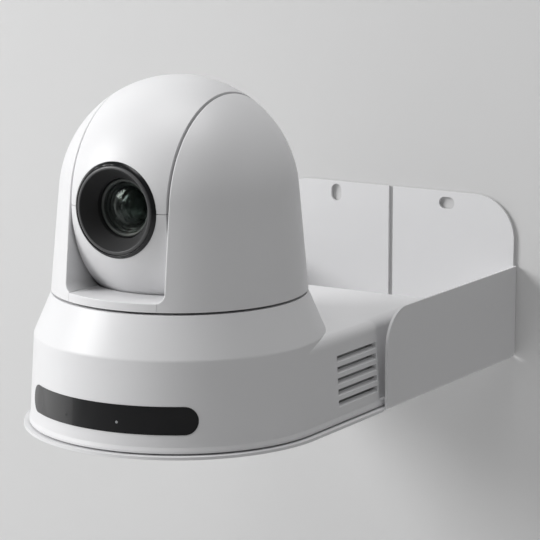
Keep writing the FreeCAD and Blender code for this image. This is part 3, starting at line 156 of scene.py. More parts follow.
class Recipe:
    """One material's shader, built node by node."""

    def __init__(self, name: str) -> None:
        """Start an empty material.

        Args:
            name: The finish's name.
        """
        self.material = bpy.data.materials.new(name)
        self.material.use_nodes = True
        self.tree = self.material.node_tree
        self.tree.nodes.clear()
        self.output = self.add("ShaderNodeOutputMaterial")

    def add(self, kind: str, settings: dict | None = None, sockets: dict | None = None) -> bpy.types.Node:
        """Add a node.

        Args:
            kind: The node's type.
            settings: Its properties.
            sockets: Values or links for its inputs, by name or place.

        Returns:
            The node.
        """
        node = self.tree.nodes.new(kind)
        for name, value in (settings or {}).items():
            setattr(node, name, value)
        for key, value in (sockets or {}).items():
            if isinstance(value, Value):
                value = value.socket
            if isinstance(value, Socket):
                self.tree.links.new(value, node.inputs[key])
            else:
                node.inputs[key].default_value = value
        return node

    def place(self, stretch: Triple = (1.0, 1.0, 1.0)) -> Socket:
        """Where a point of the piece lies.

        Args:
            stretch: Factors along the three axes, for a pattern that runs one way.

        Returns:
            The socket with the place.
        """
        spot = self.add("ShaderNodeTexCoord").outputs["Object"]
        node = self.add("ShaderNodeMapping", None, {"Vector": spot, "Scale": stretch})
        return node.outputs["Vector"]

    def noise(self, size: float, detail: float = 2.0, stretch: Triple = (1.0, 1.0, 1.0)) -> Value:
        """Soft irregular pattern.

        Args:
            size: Size of its patches.
            detail: How many finer layers it has.
            stretch: Factors along the three axes.

        Returns:
            A number near 0.5 that wanders between 0 and 1.
        """
        node = self.add("ShaderNodeTexNoise", None,
                        {"Vector": self.place(stretch), "Scale": 1.0 / size, "Detail": detail})
        return Value(self, node.outputs["Fac"])

    def cells(self, size: float) -> Value:
        """Distance to the nearest of many scattered points.

        Args:
            size: Spacing of the points.

        Returns:
            0 at a point, and up to about 1 between points.
        """
        node = self.add("ShaderNodeTexVoronoi", None, {"Vector": self.place(), "Scale": 1.0 / size})
        return Value(self, node.outputs["Distance"])

    def blend(self, factor: Value | float, low: Colour, high: Colour) -> Socket:
        """Mix two colours.

        Args:
            factor: 0 for the first and 1 for the second.
            low: The first colour.
            high: The second colour.

        Returns:
            The socket with the mixed colour.
        """
        node = self.add("ShaderNodeMix", {"data_type": "RGBA"},
                        {"Factor": factor, MIX_LOW: (*low, 1.0), MIX_HIGH: (*high, 1.0)})
        return node.outputs[MIX_RESULT]

    def bump(self, height: Value, depth: float, strength: float) -> Socket:
        """Turn a height into a normal.

        Args:
            height: The surface's height, from 0 to 1.
            depth: What 1 stands for, in metres.
            strength: How much of it is used.

        Returns:
            The socket with the normal.
        """
        node = self.add("ShaderNodeBump", None, {"Height": height, "Distance": depth, "Strength": strength})
        return node.outputs["Normal"]

    def surface(self, sockets: dict) -> None:
        """Add the main shader and link it to the output.

        Args:
            sockets: Values or links for the shader's inputs.
        """
        self.show(self.add("ShaderNodeBsdfPrincipled", None, sockets).outputs["BSDF"])

    def show(self, shader: Socket) -> None:
        """Link a shader to the output."""
        self.tree.links.new(shader, self.output.inputs["Surface"])


class Skin(Enum):
    """How a surface was made, which decides its texture."""

    MOULDED = "moulded plastic with a fine spark texture"
    COATED = "powder coat with a faint orange peel"
    ROLLED = "rolled sheet with fine lines along X"
    CAST = "die casting with a grainy skin"
    TURNED = "turned metal with fine rings"
    RUBBER = "rubber with a dusty bloom"
    BOARD = "circuit board under solder mask"
    POLISHED = "polished or glossy surface"


Look = tuple[Value, Value, Socket]      # 0 for the dark to 1 for the light colour, roughness, normal


@dataclass(frozen=True)
class Finish:
    """One material: a colour, how it shines and how it was made."""

    name: str
    skin: Skin
    colour: Colour
    roughness: float
    metallic: float = 0.0
    coat: float = 0.0
    variation: float = 0.02         # how much the colour wanders

    @cache
    def material(self) -> bpy.types.Material:
        """The material, which is built at the first call."""
        recipe = Recipe(self.name)
        dark = tuple(c * (1.0 - self.variation) for c in self.colour)
        light = tuple(min(1.0, c * (1.0 + self.variation)) for c in self.colour)
        pattern = {
            Skin.MOULDED: self._moulded, Skin.COATED: self._coated, Skin.ROLLED: self._rolled,
            Skin.CAST: self._cast, Skin.TURNED: self._turned, Skin.RUBBER: self._rubber,
            Skin.BOARD: self._board, Skin.POLISHED: self._polished,
        }[self.skin]
        shade, shine, normal = pattern(recipe, recipe.noise(CLOUD_SIZE, detail=3.0))
        recipe.surface({"Base Color": recipe.blend(shade, dark, light), "Roughness": shine,
                        "Metallic": self.metallic, "Coat Weight": self.coat,
                        "Coat Roughness": COAT_ROUGHNESS, "Normal": normal})
        recipe.material.diffuse_color = (*self.colour, 1.0)
        return recipe.material

    def _moulded(self, recipe: Recipe, clouds: Value) -> Look:
        """Spark-eroded grain of a moulding, with slow flow marks in its shine."""
        grain = recipe.noise(0.55 * MM)
        flow = recipe.noise(60 * MM, detail=1.0, stretch=(1.0, 1.0, 0.35))
        shine = self.roughness + flow.swing(0.10) + grain.swing(0.08)
        return 0.7 * clouds + 0.3 * grain, shine, recipe.bump(grain, depth=0.016 * MM, strength=0.7)

    def _coated(self, recipe: Recipe, clouds: Value) -> Look:
        """Orange peel of a powder coat over the sheet's own slow waves."""
        peel = recipe.noise(1.3 * MM, detail=1.0)
        waves = recipe.noise(26 * MM, detail=1.0)
        specks = 1.0 - recipe.cells(2.6 * MM).between(0.05, 0.11)
        shine = self.roughness + clouds.swing(0.10) + peel.swing(0.05)
        return clouds - 0.5 * specks, shine, recipe.bump(peel + 4.0 * waves, depth=0.020 * MM, strength=0.8)

    def _rolled(self, recipe: Recipe, clouds: Value) -> Look:
        """Fine lines that rolling leaves in bare or plated sheet."""
        lines = recipe.noise(0.35 * MM, stretch=(0.02, 1.0, 1.0))
        shine = self.roughness + lines.swing(0.18) + clouds.swing(0.12)
        return 0.6 * lines + 0.4 * clouds, shine, recipe.bump(lines, depth=0.010 * MM, strength=0.6)

    def _cast(self, recipe: Recipe, clouds: Value) -> Look:
        """Grain of a die casting."""
        grain = recipe.noise(0.8 * MM, detail=3.0)
        shine = self.roughness + grain.swing(0.2)
        return 0.5 * grain + 0.5 * clouds, shine, recipe.bump(grain, depth=0.05 * MM, strength=0.7)

    def _turned(self, recipe: Recipe, clouds: Value) -> Look:
        """Tool marks and a slightly smeared shine."""
        marks = recipe.noise(0.25 * MM, detail=1.0, stretch=(1.0, 1.0, 0.05))
        shine = self.roughness + marks.swing(0.15)
        return 0.5 * marks + 0.5 * clouds, shine, recipe.bump(marks, depth=0.006 * MM, strength=0.5)

    def _rubber(self, recipe: Recipe, clouds: Value) -> Look:
        """Pale bloom on dark rubber."""
        grain = recipe.noise(0.6 * MM, detail=3.0)
        bloom = recipe.noise(9 * MM, detail=4.0).between(0.45, 0.75)
        shine = self.roughness + grain.swing(0.1)
        return 0.4 * bloom + 0.4 * clouds, shine, recipe.bump(grain, depth=0.03 * MM, strength=0.8)

    def _board(self, recipe: Recipe, clouds: Value) -> Look:
        """Tracks that show through the solder mask."""
        black, white = (0, 0, 0, 1), (1, 1, 1, 1)
        tracks = recipe.add("ShaderNodeTexBrick", {"offset": 0.37, "squash": 0.7, "squash_frequency": 3},
                            {"Vector": recipe.place(), "Scale": 1.0 / (14 * MM), "Mortar Size": 0.03,
                             "Color1": black, "Color2": black, "Mortar": white})
        copper = Value(recipe, tracks.outputs["Color"])
        shine = self.roughness + clouds.swing(0.1) - 0.1 * copper
        return 0.6 * copper + 0.4 * clouds, shine, recipe.bump(copper, depth=0.04 * MM, strength=0.8)

    def _polished(self, recipe: Recipe, clouds: Value) -> Look:
        """Smooth skin with a trace of handling haze and slow waves."""
        haze = recipe.noise(7 * MM, detail=4.0).between(0.5, 0.8)
        waves = recipe.noise(18 * MM, detail=1.0)
        return clouds, self.roughness + 0.05 * haze, recipe.bump(waves, depth=0.02 * MM, strength=0.5)


WHITE_PLASTIC = Finish("white_plastic", Skin.MOULDED, (0.80, 0.80, 0.81), 0.40)
WHITE_COAT = Finish("white_powder_coat", Skin.COATED, (0.80, 0.80, 0.81), 0.42, variation=0.015)
STEEL = Finish("plated_steel", Skin.ROLLED, (0.60, 0.61, 0.62), 0.34, metallic=1.0, variation=0.08)
PAD_RUBBER = Finish("pad_rubber", Skin.RUBBER, (0.035, 0.035, 0.036), 0.80, variation=0.35)
DARK_PLASTIC = Finish("dark_plastic", Skin.MOULDED, (0.060, 0.060, 0.062), 0.48, variation=0.12)
BAFFLE_GREY = Finish("baffle_grey", Skin.MOULDED, (0.500, 0.500, 0.505), 0.60, variation=0.10)
LIP_PLASTIC = Finish("lip_plastic", Skin.MOULDED, (0.075, 0.075, 0.077), 0.38, variation=0.12)
FUNNEL_PLASTIC = Finish("funnel_plastic", Skin.MOULDED, (0.024, 0.024, 0.025), 0.80, variation=0.12)
WINDOW_BLACK = Finish("window_black", Skin.POLISHED, (0.002, 0.002, 0.003), 0.28, coat=0.20)
SATIN_BLACK = Finish("satin_black", Skin.MOULDED, (0.016, 0.016, 0.017), 0.30, variation=0.10)
RING_BLACK = Finish("ring_black", Skin.MOULDED, (0.004, 0.004, 0.005), 0.22, variation=0.10)
BARREL_BLACK = Finish("barrel_black", Skin.TURNED, (0.085, 0.093, 0.088), 0.40, variation=0.12)
WELL_BLACK = Finish("well_black", Skin.MOULDED, (0.010, 0.010, 0.011), 0.60, variation=0.12)
DOT_DARK = Finish("unlit_dot", Skin.POLISHED, (0.003, 0.003, 0.004), 0.60)
DOT_PALE = Finish("pale_dot", Skin.POLISHED, (0.36, 0.37, 0.38), 0.25)
SOCKET_METAL = Finish("socket_metal", Skin.ROLLED, (0.62, 0.62, 0.60), 0.30, metallic=1.0, variation=0.08)
BOARD_GREEN = Finish("board_green", Skin.BOARD, (0.020, 0.110, 0.050), 0.40, variation=0.45)
CAST_GREY = Finish("cast_grey", Skin.CAST, (0.33, 0.34, 0.35), 0.50, metallic=0.8, variation=0.12)
MOTOR_METAL = Finish("motor_metal", Skin.ROLLED, (0.45, 0.46, 0.47), 0.38, metallic=1.0, variation=0.08)
GEAR_PLASTIC = Finish("gear_plastic", Skin.MOULDED, (0.66, 0.65, 0.60), 0.45, variation=0.04)
BRASS = Finish("brass", Skin.TURNED, (0.72, 0.53, 0.24), 0.30, metallic=1.0, variation=0.08)
BEARING_STEEL = Finish("bearing_steel", Skin.TURNED, (0.58, 0.58, 0.59), 0.22, metallic=1.0, variation=0.06)

FINISH_OF_SLOT = {
    "bracket_white": WHITE_COAT, "steel": STEEL, "pad_rubber": PAD_RUBBER, "housing_white": WHITE_PLASTIC,
    "dark_plastic": DARK_PLASTIC, "panel_black": WINDOW_BLACK, "indicator_dark": DOT_DARK,
    "indicator_pale": DOT_PALE, "socket_metal": SOCKET_METAL, "board_green": BOARD_GREEN,
    "cast_grey": CAST_GREY, "motor_metal": MOTOR_METAL, "gear_plastic": GEAR_PLASTIC,
    "pinion_brass": BRASS, "bearing_steel": BEARING_STEEL, "lens_glass": WINDOW_BLACK,
    "bezel_black": SATIN_BLACK,
}

FINISH_OF_NODE: dict[str, Finish] = {"vent_baffles": BAFFLE_GREY}


def dress_cad(nodes: dict[str, Piece]) -> None:
    """Give every CAD node its own finish, or that of the slot its plain material is named after."""
    for name, node in nodes.items():
        slot = node.material_slots[0].material.name
        finish = FINISH_OF_NODE.get(name, FINISH_OF_SLOT[slot])
        node.material_slots[0].material = finish.material()
        log.info("dressed %s in %s", name, finish.name)


def coated_glass(name: str, tint: Colour, haze_depth: float) -> bpy.types.Material:
    """Clear glass whose coating holds its reflections down and colours them.

    Args:
        name: The material's name.
        tint: Share of each colour that bare glass would reflect.
        haze_depth: How much the cleaning haze softens the shine.

    Returns:
        The material.
    """
    recipe = Recipe(name)
    haze = recipe.noise(5 * MM, detail=3.0).between(0.35, 0.85)
    colour = recipe.blend(haze, (0.93, 0.97, 0.95), (0.90, 0.95, 0.93))
    recipe.surface({"Base Color": colour, "Roughness": GLASS_ROUGHNESS + haze_depth * haze,
                    "IOR": GLASS_IOR, "Transmission Weight": 1.0, "Specular Tint": (*tint, 1.0)})
    return recipe.material


class Bench:
    """Modelling steps that the sub-assemblies share."""

    @staticmethod
    def clear() -> None:
        """Deselect everything."""
        bpy.ops.object.select_all(action="DESELECT")

    @staticmethod
    def pick(piece: Piece) -> None:
        """Select one piece alone."""
        Bench.clear()
        piece.select_set(True)
        bpy.context.view_layer.objects.active = piece

    @staticmethod
    def settle(piece: Piece) -> None:
        """Move a piece's place, turn and size into its mesh."""
        Bench.pick(piece)
        bpy.ops.object.transform_apply(location=True, rotation=True, scale=True)

    @staticmethod
    def select(piece: Piece, kind: str, test: Test) -> None:
        """Select vertices or edges of a piece by place, and go into edit mode.

        Args:
            piece: The piece, in either mode.
            kind: VERT or EDGE.
            test: Which vertices are wanted.
        """
        Bench.pick_mode(piece, "EDIT")
        bpy.ops.mesh.select_mode(type=kind)
        bpy.ops.mesh.select_all(action="DESELECT")
        Bench.pick_mode(piece, "OBJECT")
        mesh = piece.data
        wanted = [test(vertex.co) for vertex in mesh.vertices]
        parts = {"VERT": mesh.vertices, "EDGE": mesh.edges}[kind]
        for part in parts:
            corners = [part.index] if kind == "VERT" else part.vertices
            part.select = all(wanted[i] for i in corners)
        Bench.pick_mode(piece, "EDIT")

    @staticmethod
    def pick_mode(piece: Piece, mode: str) -> None:
        """Make a piece active and set its mode."""
        bpy.context.view_layer.objects.active = piece
        if piece.mode != mode:
            bpy.ops.object.mode_set(mode=mode)

    @staticmethod
    def edit_all(piece: Piece) -> None:
        """Go into edit mode with everything selected."""
        Bench.pick_mode(piece, "EDIT")
        bpy.ops.mesh.select_all(action="SELECT")

    @staticmethod
    def modify(piece: Piece, kind: str, **settings: object) -> None:
        """Add a modifier and apply it.

        Args:
            piece: The piece.
            kind: The modifier's type.
            settings: Its properties.
        """
        Bench.pick(piece)
        modifier = piece.modifiers.new(kind.lower(), kind)
        for name, value in settings.items():
            setattr(modifier, name, value)
        bpy.ops.object.modifier_apply(modifier=modifier.name)

    @staticmethod
    def outward(piece: Piece) -> None:
        """Merge doubles and turn all faces outwards."""
        Bench.edit_all(piece)
        bpy.ops.mesh.remove_doubles(threshold=WELD)
        bpy.ops.mesh.normals_make_consistent(inside=False)
        Bench.pick_mode(piece, "OBJECT")

    @staticmethod
    def soften(piece: Piece, width: float) -> None:
        """Round the sharp edges a little and shade the rest smoothly.

        Args:
            piece: The piece.
            width: Width of the rounding.
        """
        if width > 0:
            Bench.modify(piece, "BEVEL", width=width, segments=EDGE_STEPS, limit_method="ANGLE",
                         angle_limit=FINE_ANGLE, use_clamp_overlap=True)
        Bench.pick(piece)
        bpy.ops.object.shade_smooth_by_angle(angle=FINE_ANGLE)
        Bench.modify(piece, "WEIGHTED_NORMAL", weight=100, keep_sharp=True)

    @staticmethod
    def carve(piece: Piece, cutter: Piece) -> None:
        """Cut one piece with another, which is used up.

        Args:
            piece: What is cut.
            cutter: What cuts it.
        """
        Bench.modify(piece, "BOOLEAN", operation="DIFFERENCE", solver="EXACT", object=cutter)
        bpy.data.objects.remove(cutter)


def arc(start: Point, end: Point, bow: float) -> list[Point]:
    """Points of a shallow arc between two points of a profile.

    Args:
        start: Radius and depth at the start.
        end: Radius and depth at the end.
        bow: How far the middle stands out, to the left of the way from start to end.

    Returns:
        The points after the start.
    """
    across, along = end[0] - start[0], end[1] - start[1]
    length = math.hypot(across, along)
    points = []
    for step in range(1, ARC_STEPS + 1):
        share = step / ARC_STEPS
        out = bow * math.sin(math.pi * share) / length
        points.append((start[0] + share * across - out * along, start[1] + share * along + out * across))
    return points


def near(a: float, b: float) -> bool:
    """Whether two lengths are the same within a hundredth of a millimetre."""
    return abs(a - b) < NEAR


def hand_over(piece: Piece, body: str, material: bpy.types.Material,
              nodes: Iterable[str] = ()) -> None:
    """Finish a piece and place it in the model.

    Args:
        piece: The piece, in its place.
        body: The body that it rides on.
        material: Its material.
        nodes: The CAD nodes that it stands for.
    """
    piece.data.materials.clear()
    piece.data.materials.append(material)
    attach(piece, body)
    if nodes:
        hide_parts(*nodes)
    log.info("made %s on %s, %d faces", piece.name, body, len(piece.data.polygons))


def middle(node: str) -> Vector:
    """Centre of a CAD node's box."""
    low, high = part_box(node)
    return (low + high) / 2


@dataclass
class WallBracket:
    """The folded sheet that holds the camera: shelf, cheeks and back flanges."""

    sheet: float = 1.5 * MM
    rim: float = 82.5 * MM            # radius of the shelf's front
    bend: float = 2.5 * MM            # outside radius of a fold
    relief: float = 1.6 * MM          # width of the notches at the folds
    cheek_front: float = 73.4 * MM    # behind the pan axis
    cheek_height: float = 54.4 * MM
    cheek_corner: float = 20.0 * MM
    flange_corner: float = 25.5 * MM
    flange_inset: float = 2.0 * MM    # from the cheek's outside to a flange's edge above it
    seam: float = 2.8 * MM
    deburr: float = 0.28 * MM
    wall_hole: float = 2.75 * MM      # radius
    wall_hole_x: float = 37.5 * MM
    slot_half_width: float = 3.5 * MM
    slot_reach: float = 1.6 * MM      # centre of a slot to the centre of its round end
    slot_drop: float = 6.9 * MM       # centre of a slot below the top of its flange
    drill_depth: float = 6.0 * MM     # a cutter's depth, half on each side of the sheet's outside
    notch: Triple = (46.0 * MM, 26.0 * MM, 6.0 * MM)           # width, height, corner
    notch_depth: float = 3.3 * MM     # the same for the cable notch's cutter, which stops short of the shelf
    tripod_hole: Point = (3.3 * MM, 20.0 * MM)                 # radius, behind the pan axis
    screw_hole: float = 1.65 * MM     # radius
    screw_places: Triple = (48.0 * MM, -28.0 * MM, 92.0 * MM)  # to a side, front, rear

    def __post_init__(self) -> None:
        """Work out the places that the steps of the folding share."""
        self.low, self.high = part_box("wall_bracket")
        self.axis_y = middle("pan_bearing").y
        self.front_y = self.axis_y + self.cheek_front
        self.fold_x = self.high.x - self.bend
        self.fold_y = self.high.y - self.bend
        self.fold_z = self.low.z + self.bend
        self.rear_y = self.fold_y - self.relief
        self.top_z = self.low.z + self.cheek_height

    def build(self) -> None:
        """Fold the sheet, cut its holes and coat it."""
        piece = self._shelf()
        for side in (-1, 1):
            self._cheek(piece, side)
            self._flange(piece, side)
        Bench.pick_mode(piece, "OBJECT")
        Bench.outward(piece)
        self._face_down(piece)
        Bench.modify(piece, "SOLIDIFY", thickness=self.sheet, offset=-1.0, use_even_offset=True)
        for cutter in self._cutters():
            Bench.carve(piece, cutter)
        Bench.soften(piece, self.deburr)
        hand_over(piece, "bracket", WHITE_COAT.material(), ["wall_bracket"])

    def _shelf(self) -> Piece:
        """Lower face of the shelf: a half disc run back to the first notches and on to the wall."""
        notch_y = self.front_y - self.relief
        Bench.clear()
        bpy.ops.mesh.primitive_circle_add(vertices=RIM_STEPS, radius=self.rim, fill_type="NGON",
                                          location=(0.0, self.axis_y, self.low.z))
        piece = bpy.context.object
        piece.name = "folded_bracket"
        Bench.settle(piece)
        Bench.edit_all(piece)
        bpy.ops.mesh.bisect(plane_co=(0.0, self.axis_y, 0.0), plane_no=(0.0, 1.0, 0.0), clear_outer=True)
        self._extrude(piece, lambda v: v.y > self.axis_y - NEAR, Vector((0, notch_y - self.axis_y, 0)))
        for side in (-1, 1):
            Bench.edit_all(piece)
            bpy.ops.mesh.bisect(plane_co=(side * self.fold_x, 0.0, 0.0), plane_no=(1.0, 0.0, 0.0))
        self._extrude(piece, lambda v: near(v.y, notch_y) and abs(v.x) < self.fold_x + NEAR,
                      Vector((0, self.relief, 0)))
        self._extrude(piece, lambda v: near(v.y, self.front_y), Vector((0, self.rear_y - self.front_y, 0)))
        self._extrude(piece, lambda v: near(v.y, self.rear_y), Vector((0, self.relief, 0)))
        return piece

    @staticmethod
    def _extrude(piece: Piece, test: Test, along: Vector) -> None:
        """Run the edges whose ends pass a test along a straight line.

        Args:
            piece: The sheet.
            test: Which vertices are wanted.
            along: How far the edges go.
        """
        Bench.select(piece, "EDGE", test)
        bpy.ops.mesh.extrude_region_move(TRANSFORM_OT_translate={"value": along})

    @staticmethod
    def _fold(piece: Piece, test: Test, centre: Vector, axis: Vector) -> None:
        """Sweep the edges whose ends pass a test a quarter turn.

        Args:
            piece: The sheet.
            test: Which vertices are wanted.
            centre: A point on the fold's axis.
            axis: The fold's axis.
        """
        Bench.select(piece, "EDGE", test)
        bpy.ops.mesh.spin(steps=FOLD_STEPS, angle=math.pi / 2, center=centre, axis=axis, dupli=False)

    def _cheek(self, piece: Piece, side: int) -> None:
        """Fold one side up from the shelf and round its front corner."""
        outer, fold_x = side * self.high.x, side * self.fold_x
        front, rear, fold_z = self.front_y, self.rear_y, self.fold_z

        def on_fold(v: Vector) -> bool:
            return near(v.x, fold_x) and front - NEAR < v.y < rear + NEAR and near(v.z, self.low.z)

        self._fold(piece, on_fold, Vector((fold_x, front, fold_z)), Vector((0, side, 0)))
        self._extrude(piece, lambda v: near(v.x, outer) and near(v.z, fold_z),
                      Vector((0, 0, self.top_z - fold_z)))
        self._extrude(piece, lambda v: near(v.x, outer) and near(v.y, rear) and v.z > fold_z - NEAR,
                      Vector((0, self.relief, 0)))
        self._round(piece, lambda v: near(v.x, outer) and near(v.y, front) and near(v.z, self.top_z),
                    self.cheek_corner)

    def _flange(self, piece: Piece, side: int) -> None:
        """Fold one back flange in from its cheek, run it to the seam and up to its top."""
        outer, fold_x = side * self.high.x, side * self.fold_x
        foot_x = side * (self.fold_x - self.relief)
        seam_x = side * self.seam / 2
        edge_x = side * (self.high.x - self.flange_inset)
        fold_y, fold_z, top = self.fold_y, self.fold_z, self.top_z
        wall, rise = self.high.y, self.high.z

        def on_foot(v: Vector) -> bool:
            return near(v.y, wall) and near(v.z, fold_z) and 0 < v.x * side < foot_x * side + NEAR

        self._fold(piece, lambda v: near(v.x, outer) and near(v.y, fold_y) and v.z > fold_z - NEAR,
                   Vector((fold_x, fold_y, 0)), Vector((0, 0, -side)))
        for start, end in ((fold_x, foot_x), (foot_x, seam_x)):
            self._extrude(piece, lambda v, x=start: near(v.x, x) and near(v.y, wall),
                          Vector((end - start, 0, 0)))
        self._extrude(piece, on_foot, Vector((0, 0, -self.bend)))
        self._extrude(piece, lambda v: near(v.y, wall) and near(v.z, top) and v.x * side > 0,
                      Vector((0, 0, rise - top)))
        Bench.select(piece, "EDGE", lambda v: near(v.x, fold_x) and near(v.y, wall) and v.z > top - NEAR)
        bpy.ops.transform.translate(value=(edge_x - fold_x, 0.0, 0.0))
        Bench.select(piece, "EDGE", lambda v: near(v.x, foot_x) and near(v.y, wall) and v.z > top - NEAR)
        bpy.ops.mesh.dissolve_edges(use_verts=True)
        self._round(piece, lambda v: near(v.x, edge_x) and near(v.y, wall) and near(v.z, rise),
                    self.flange_corner)

    @staticmethod
    def _round(piece: Piece, test: Test, radius: float) -> None:
        """Round a corner of the flat sheet.

        Args:
            piece: The sheet.
            test: Which vertex is the corner.
            radius: The corner's radius.
        """
        Bench.select(piece, "VERT", test)
        bpy.ops.mesh.bevel(offset_type="OFFSET", offset=radius, segments=CORNER_STEPS, affect="VERTICES")

    @staticmethod
    def _face_down(piece: Piece) -> None:
        """Turn the sheet's outside outwards, so that its wall grows inwards."""
        shelf = max(piece.data.polygons, key=lambda face: face.area)
        if shelf.normal.z > 0:
            Bench.edit_all(piece)
            bpy.ops.mesh.flip_normals()
            Bench.pick_mode(piece, "OBJECT")

    def _cutters(self) -> list[Piece]:
        """Shapes of all the holes, the level and the upright slot and the cable notch."""
        slot_z = self.high.z - self.slot_drop
        cutters = [self._notch()]
        for side in (-1, 1):
            x = side * self.wall_hole_x
            cutters.append(self._drill(self.wall_hole, Vector((x, self.high.y, 0.0)), AHEAD))
            reach = Vector((self.slot_reach, 0, 0)) if side > 0 else Vector((0, 0, self.slot_reach))
            cutters.append(self._slot(Vector((x, self.high.y, slot_z)), reach))
        radius, behind = self.tripod_hole
        places = [(radius, 0.0, behind)]
        aside, front, rear = self.screw_places
        places += [(self.screw_hole, side * aside, y) for side in (-1, 1) for y in (front, rear)]
        for hole, x, y in places:
            cutters.append(self._drill(hole, Vector((x, self.axis_y + y, self.low.z)), UP))
        return cutters

    def _drill(self, radius: float, place: Vector, along: Vector) -> Piece:
        """Round cutter through the sheet.

        Args:
            radius: The hole's radius.
            place: The hole's centre on the sheet's outside.
            along: The hole's axis.

        Returns:
            The cutter.
        """
        Bench.clear()
        bpy.ops.mesh.primitive_cylinder_add(vertices=HOLE_STEPS, radius=radius, depth=self.drill_depth,
                                            location=place, rotation=along.to_track_quat("Z", "Y").to_euler())
        cutter = bpy.context.object
        Bench.settle(cutter)
        return cutter

    def _slot(self, place: Vector, reach: Vector) -> Piece:
        """Round-ended cutter: a round one whose halves are drawn apart.

        Args:
            place: The slot's centre on the wall side.
            reach: From its centre to the centre of one end.

        Returns:
            The cutter.
        """
        cutter = self._drill(self.slot_half_width, place, AHEAD)
        for way in (-1, 1):
            end = way * reach
            Bench.select(cutter, "VERT", lambda v, end=end: (v - place).dot(end) > NEAR * end.length)
            bpy.ops.transform.translate(value=end)
        Bench.pick_mode(cutter, "OBJECT")
        return cutter

    def _notch(self) -> Piece:
        """Cutter of the cable notch, with round upper corners."""
        width, height, corner = self.notch
        Bench.clear()
        bpy.ops.mesh.primitive_cube_add(size=1.0, location=(0.0, self.high.y, self.low.z),
                                        scale=(width, self.notch_depth, 2 * height))
        cutter = bpy.context.object
        Bench.settle(cutter)
        top = self.low.z + height
        for x in (-width / 2, width / 2):
            Bench.select(cutter, "EDGE", lambda v, x=x: near(v.x, x) and near(v.z, top))
            bpy.ops.mesh.bevel(offset_type="OFFSET", offset=corner, segments=FOLD_STEPS, affect="EDGES")
        Bench.pick_mode(cutter, "OBJECT")
        return cutter


@dataclass(frozen=True)
class BarrelPiece:
    """A turned piece of the barrel."""

    name: str
    finish: Finish
    edge: float                       # width of the rounding of its edges
    outline: Profile                  # radius and distance behind the barrel's front, in millimetres
    nodes: Sequence[str] = ()         # CAD nodes that it stands for


@dataclass(frozen=True)
class Element:
    """A glass element with two curved faces, in millimetres."""

    name: str
    radius: float
    rim: float                        # its rim's distance behind the barrel's front
    bow: float                        # radius of its faces, negative where they are hollow to the front


BARREL_PIECES = (
    BarrelPiece("stepped_lens_barrel", BARREL_BLACK, 0.06 * MM,
                ((12.9, 21.3), (15.0, 21.3), (15.0, 0.6), (14.8, 0.35), (14.3, 0.1), (13.95, 0.1),
                 (13.35, 0.7), (13.35, 2.9), (12.9, 3.0), (12.9, 20.0)), ["lens_barrel"]),
    BarrelPiece("ledged_sleeve", BARREL_BLACK, 0.05 * MM,
                ((12.85, 3.4), (12.3, 3.0), (11.6, 3.6), (11.5, 4.6), (11.3, 4.65), (10.4, 5.4),
                 (10.3, 7.6), (10.3, 9.5), (12.85, 9.5))),
    BarrelPiece("black_well", WELL_BLACK, 0.05 * MM,
                ((12.85, 9.7), (9.4, 9.7), (9.3, 10.9), (7.7, 11.0), (7.6, 13.2), (3.2, 13.3),
                 (3.2, 17.0), (12.85, 17.0))),
)
FRONT_GLASS = Element("coated_front_glass", 13.3, 2.0, 20.0)
INNER_GLASSES = (
    Element("second_glass", 9.5, 5.3, 12.0),
    Element("third_glass", 7.5, 8.1, 10.0),
    Element("rear_glass", 7.4, 10.2, -12.0),
)
IRIS_OUTLINE = ((3.19, 13.6), (3.19, 14.0), (0.0, 16.1))    # as in BarrelPiece


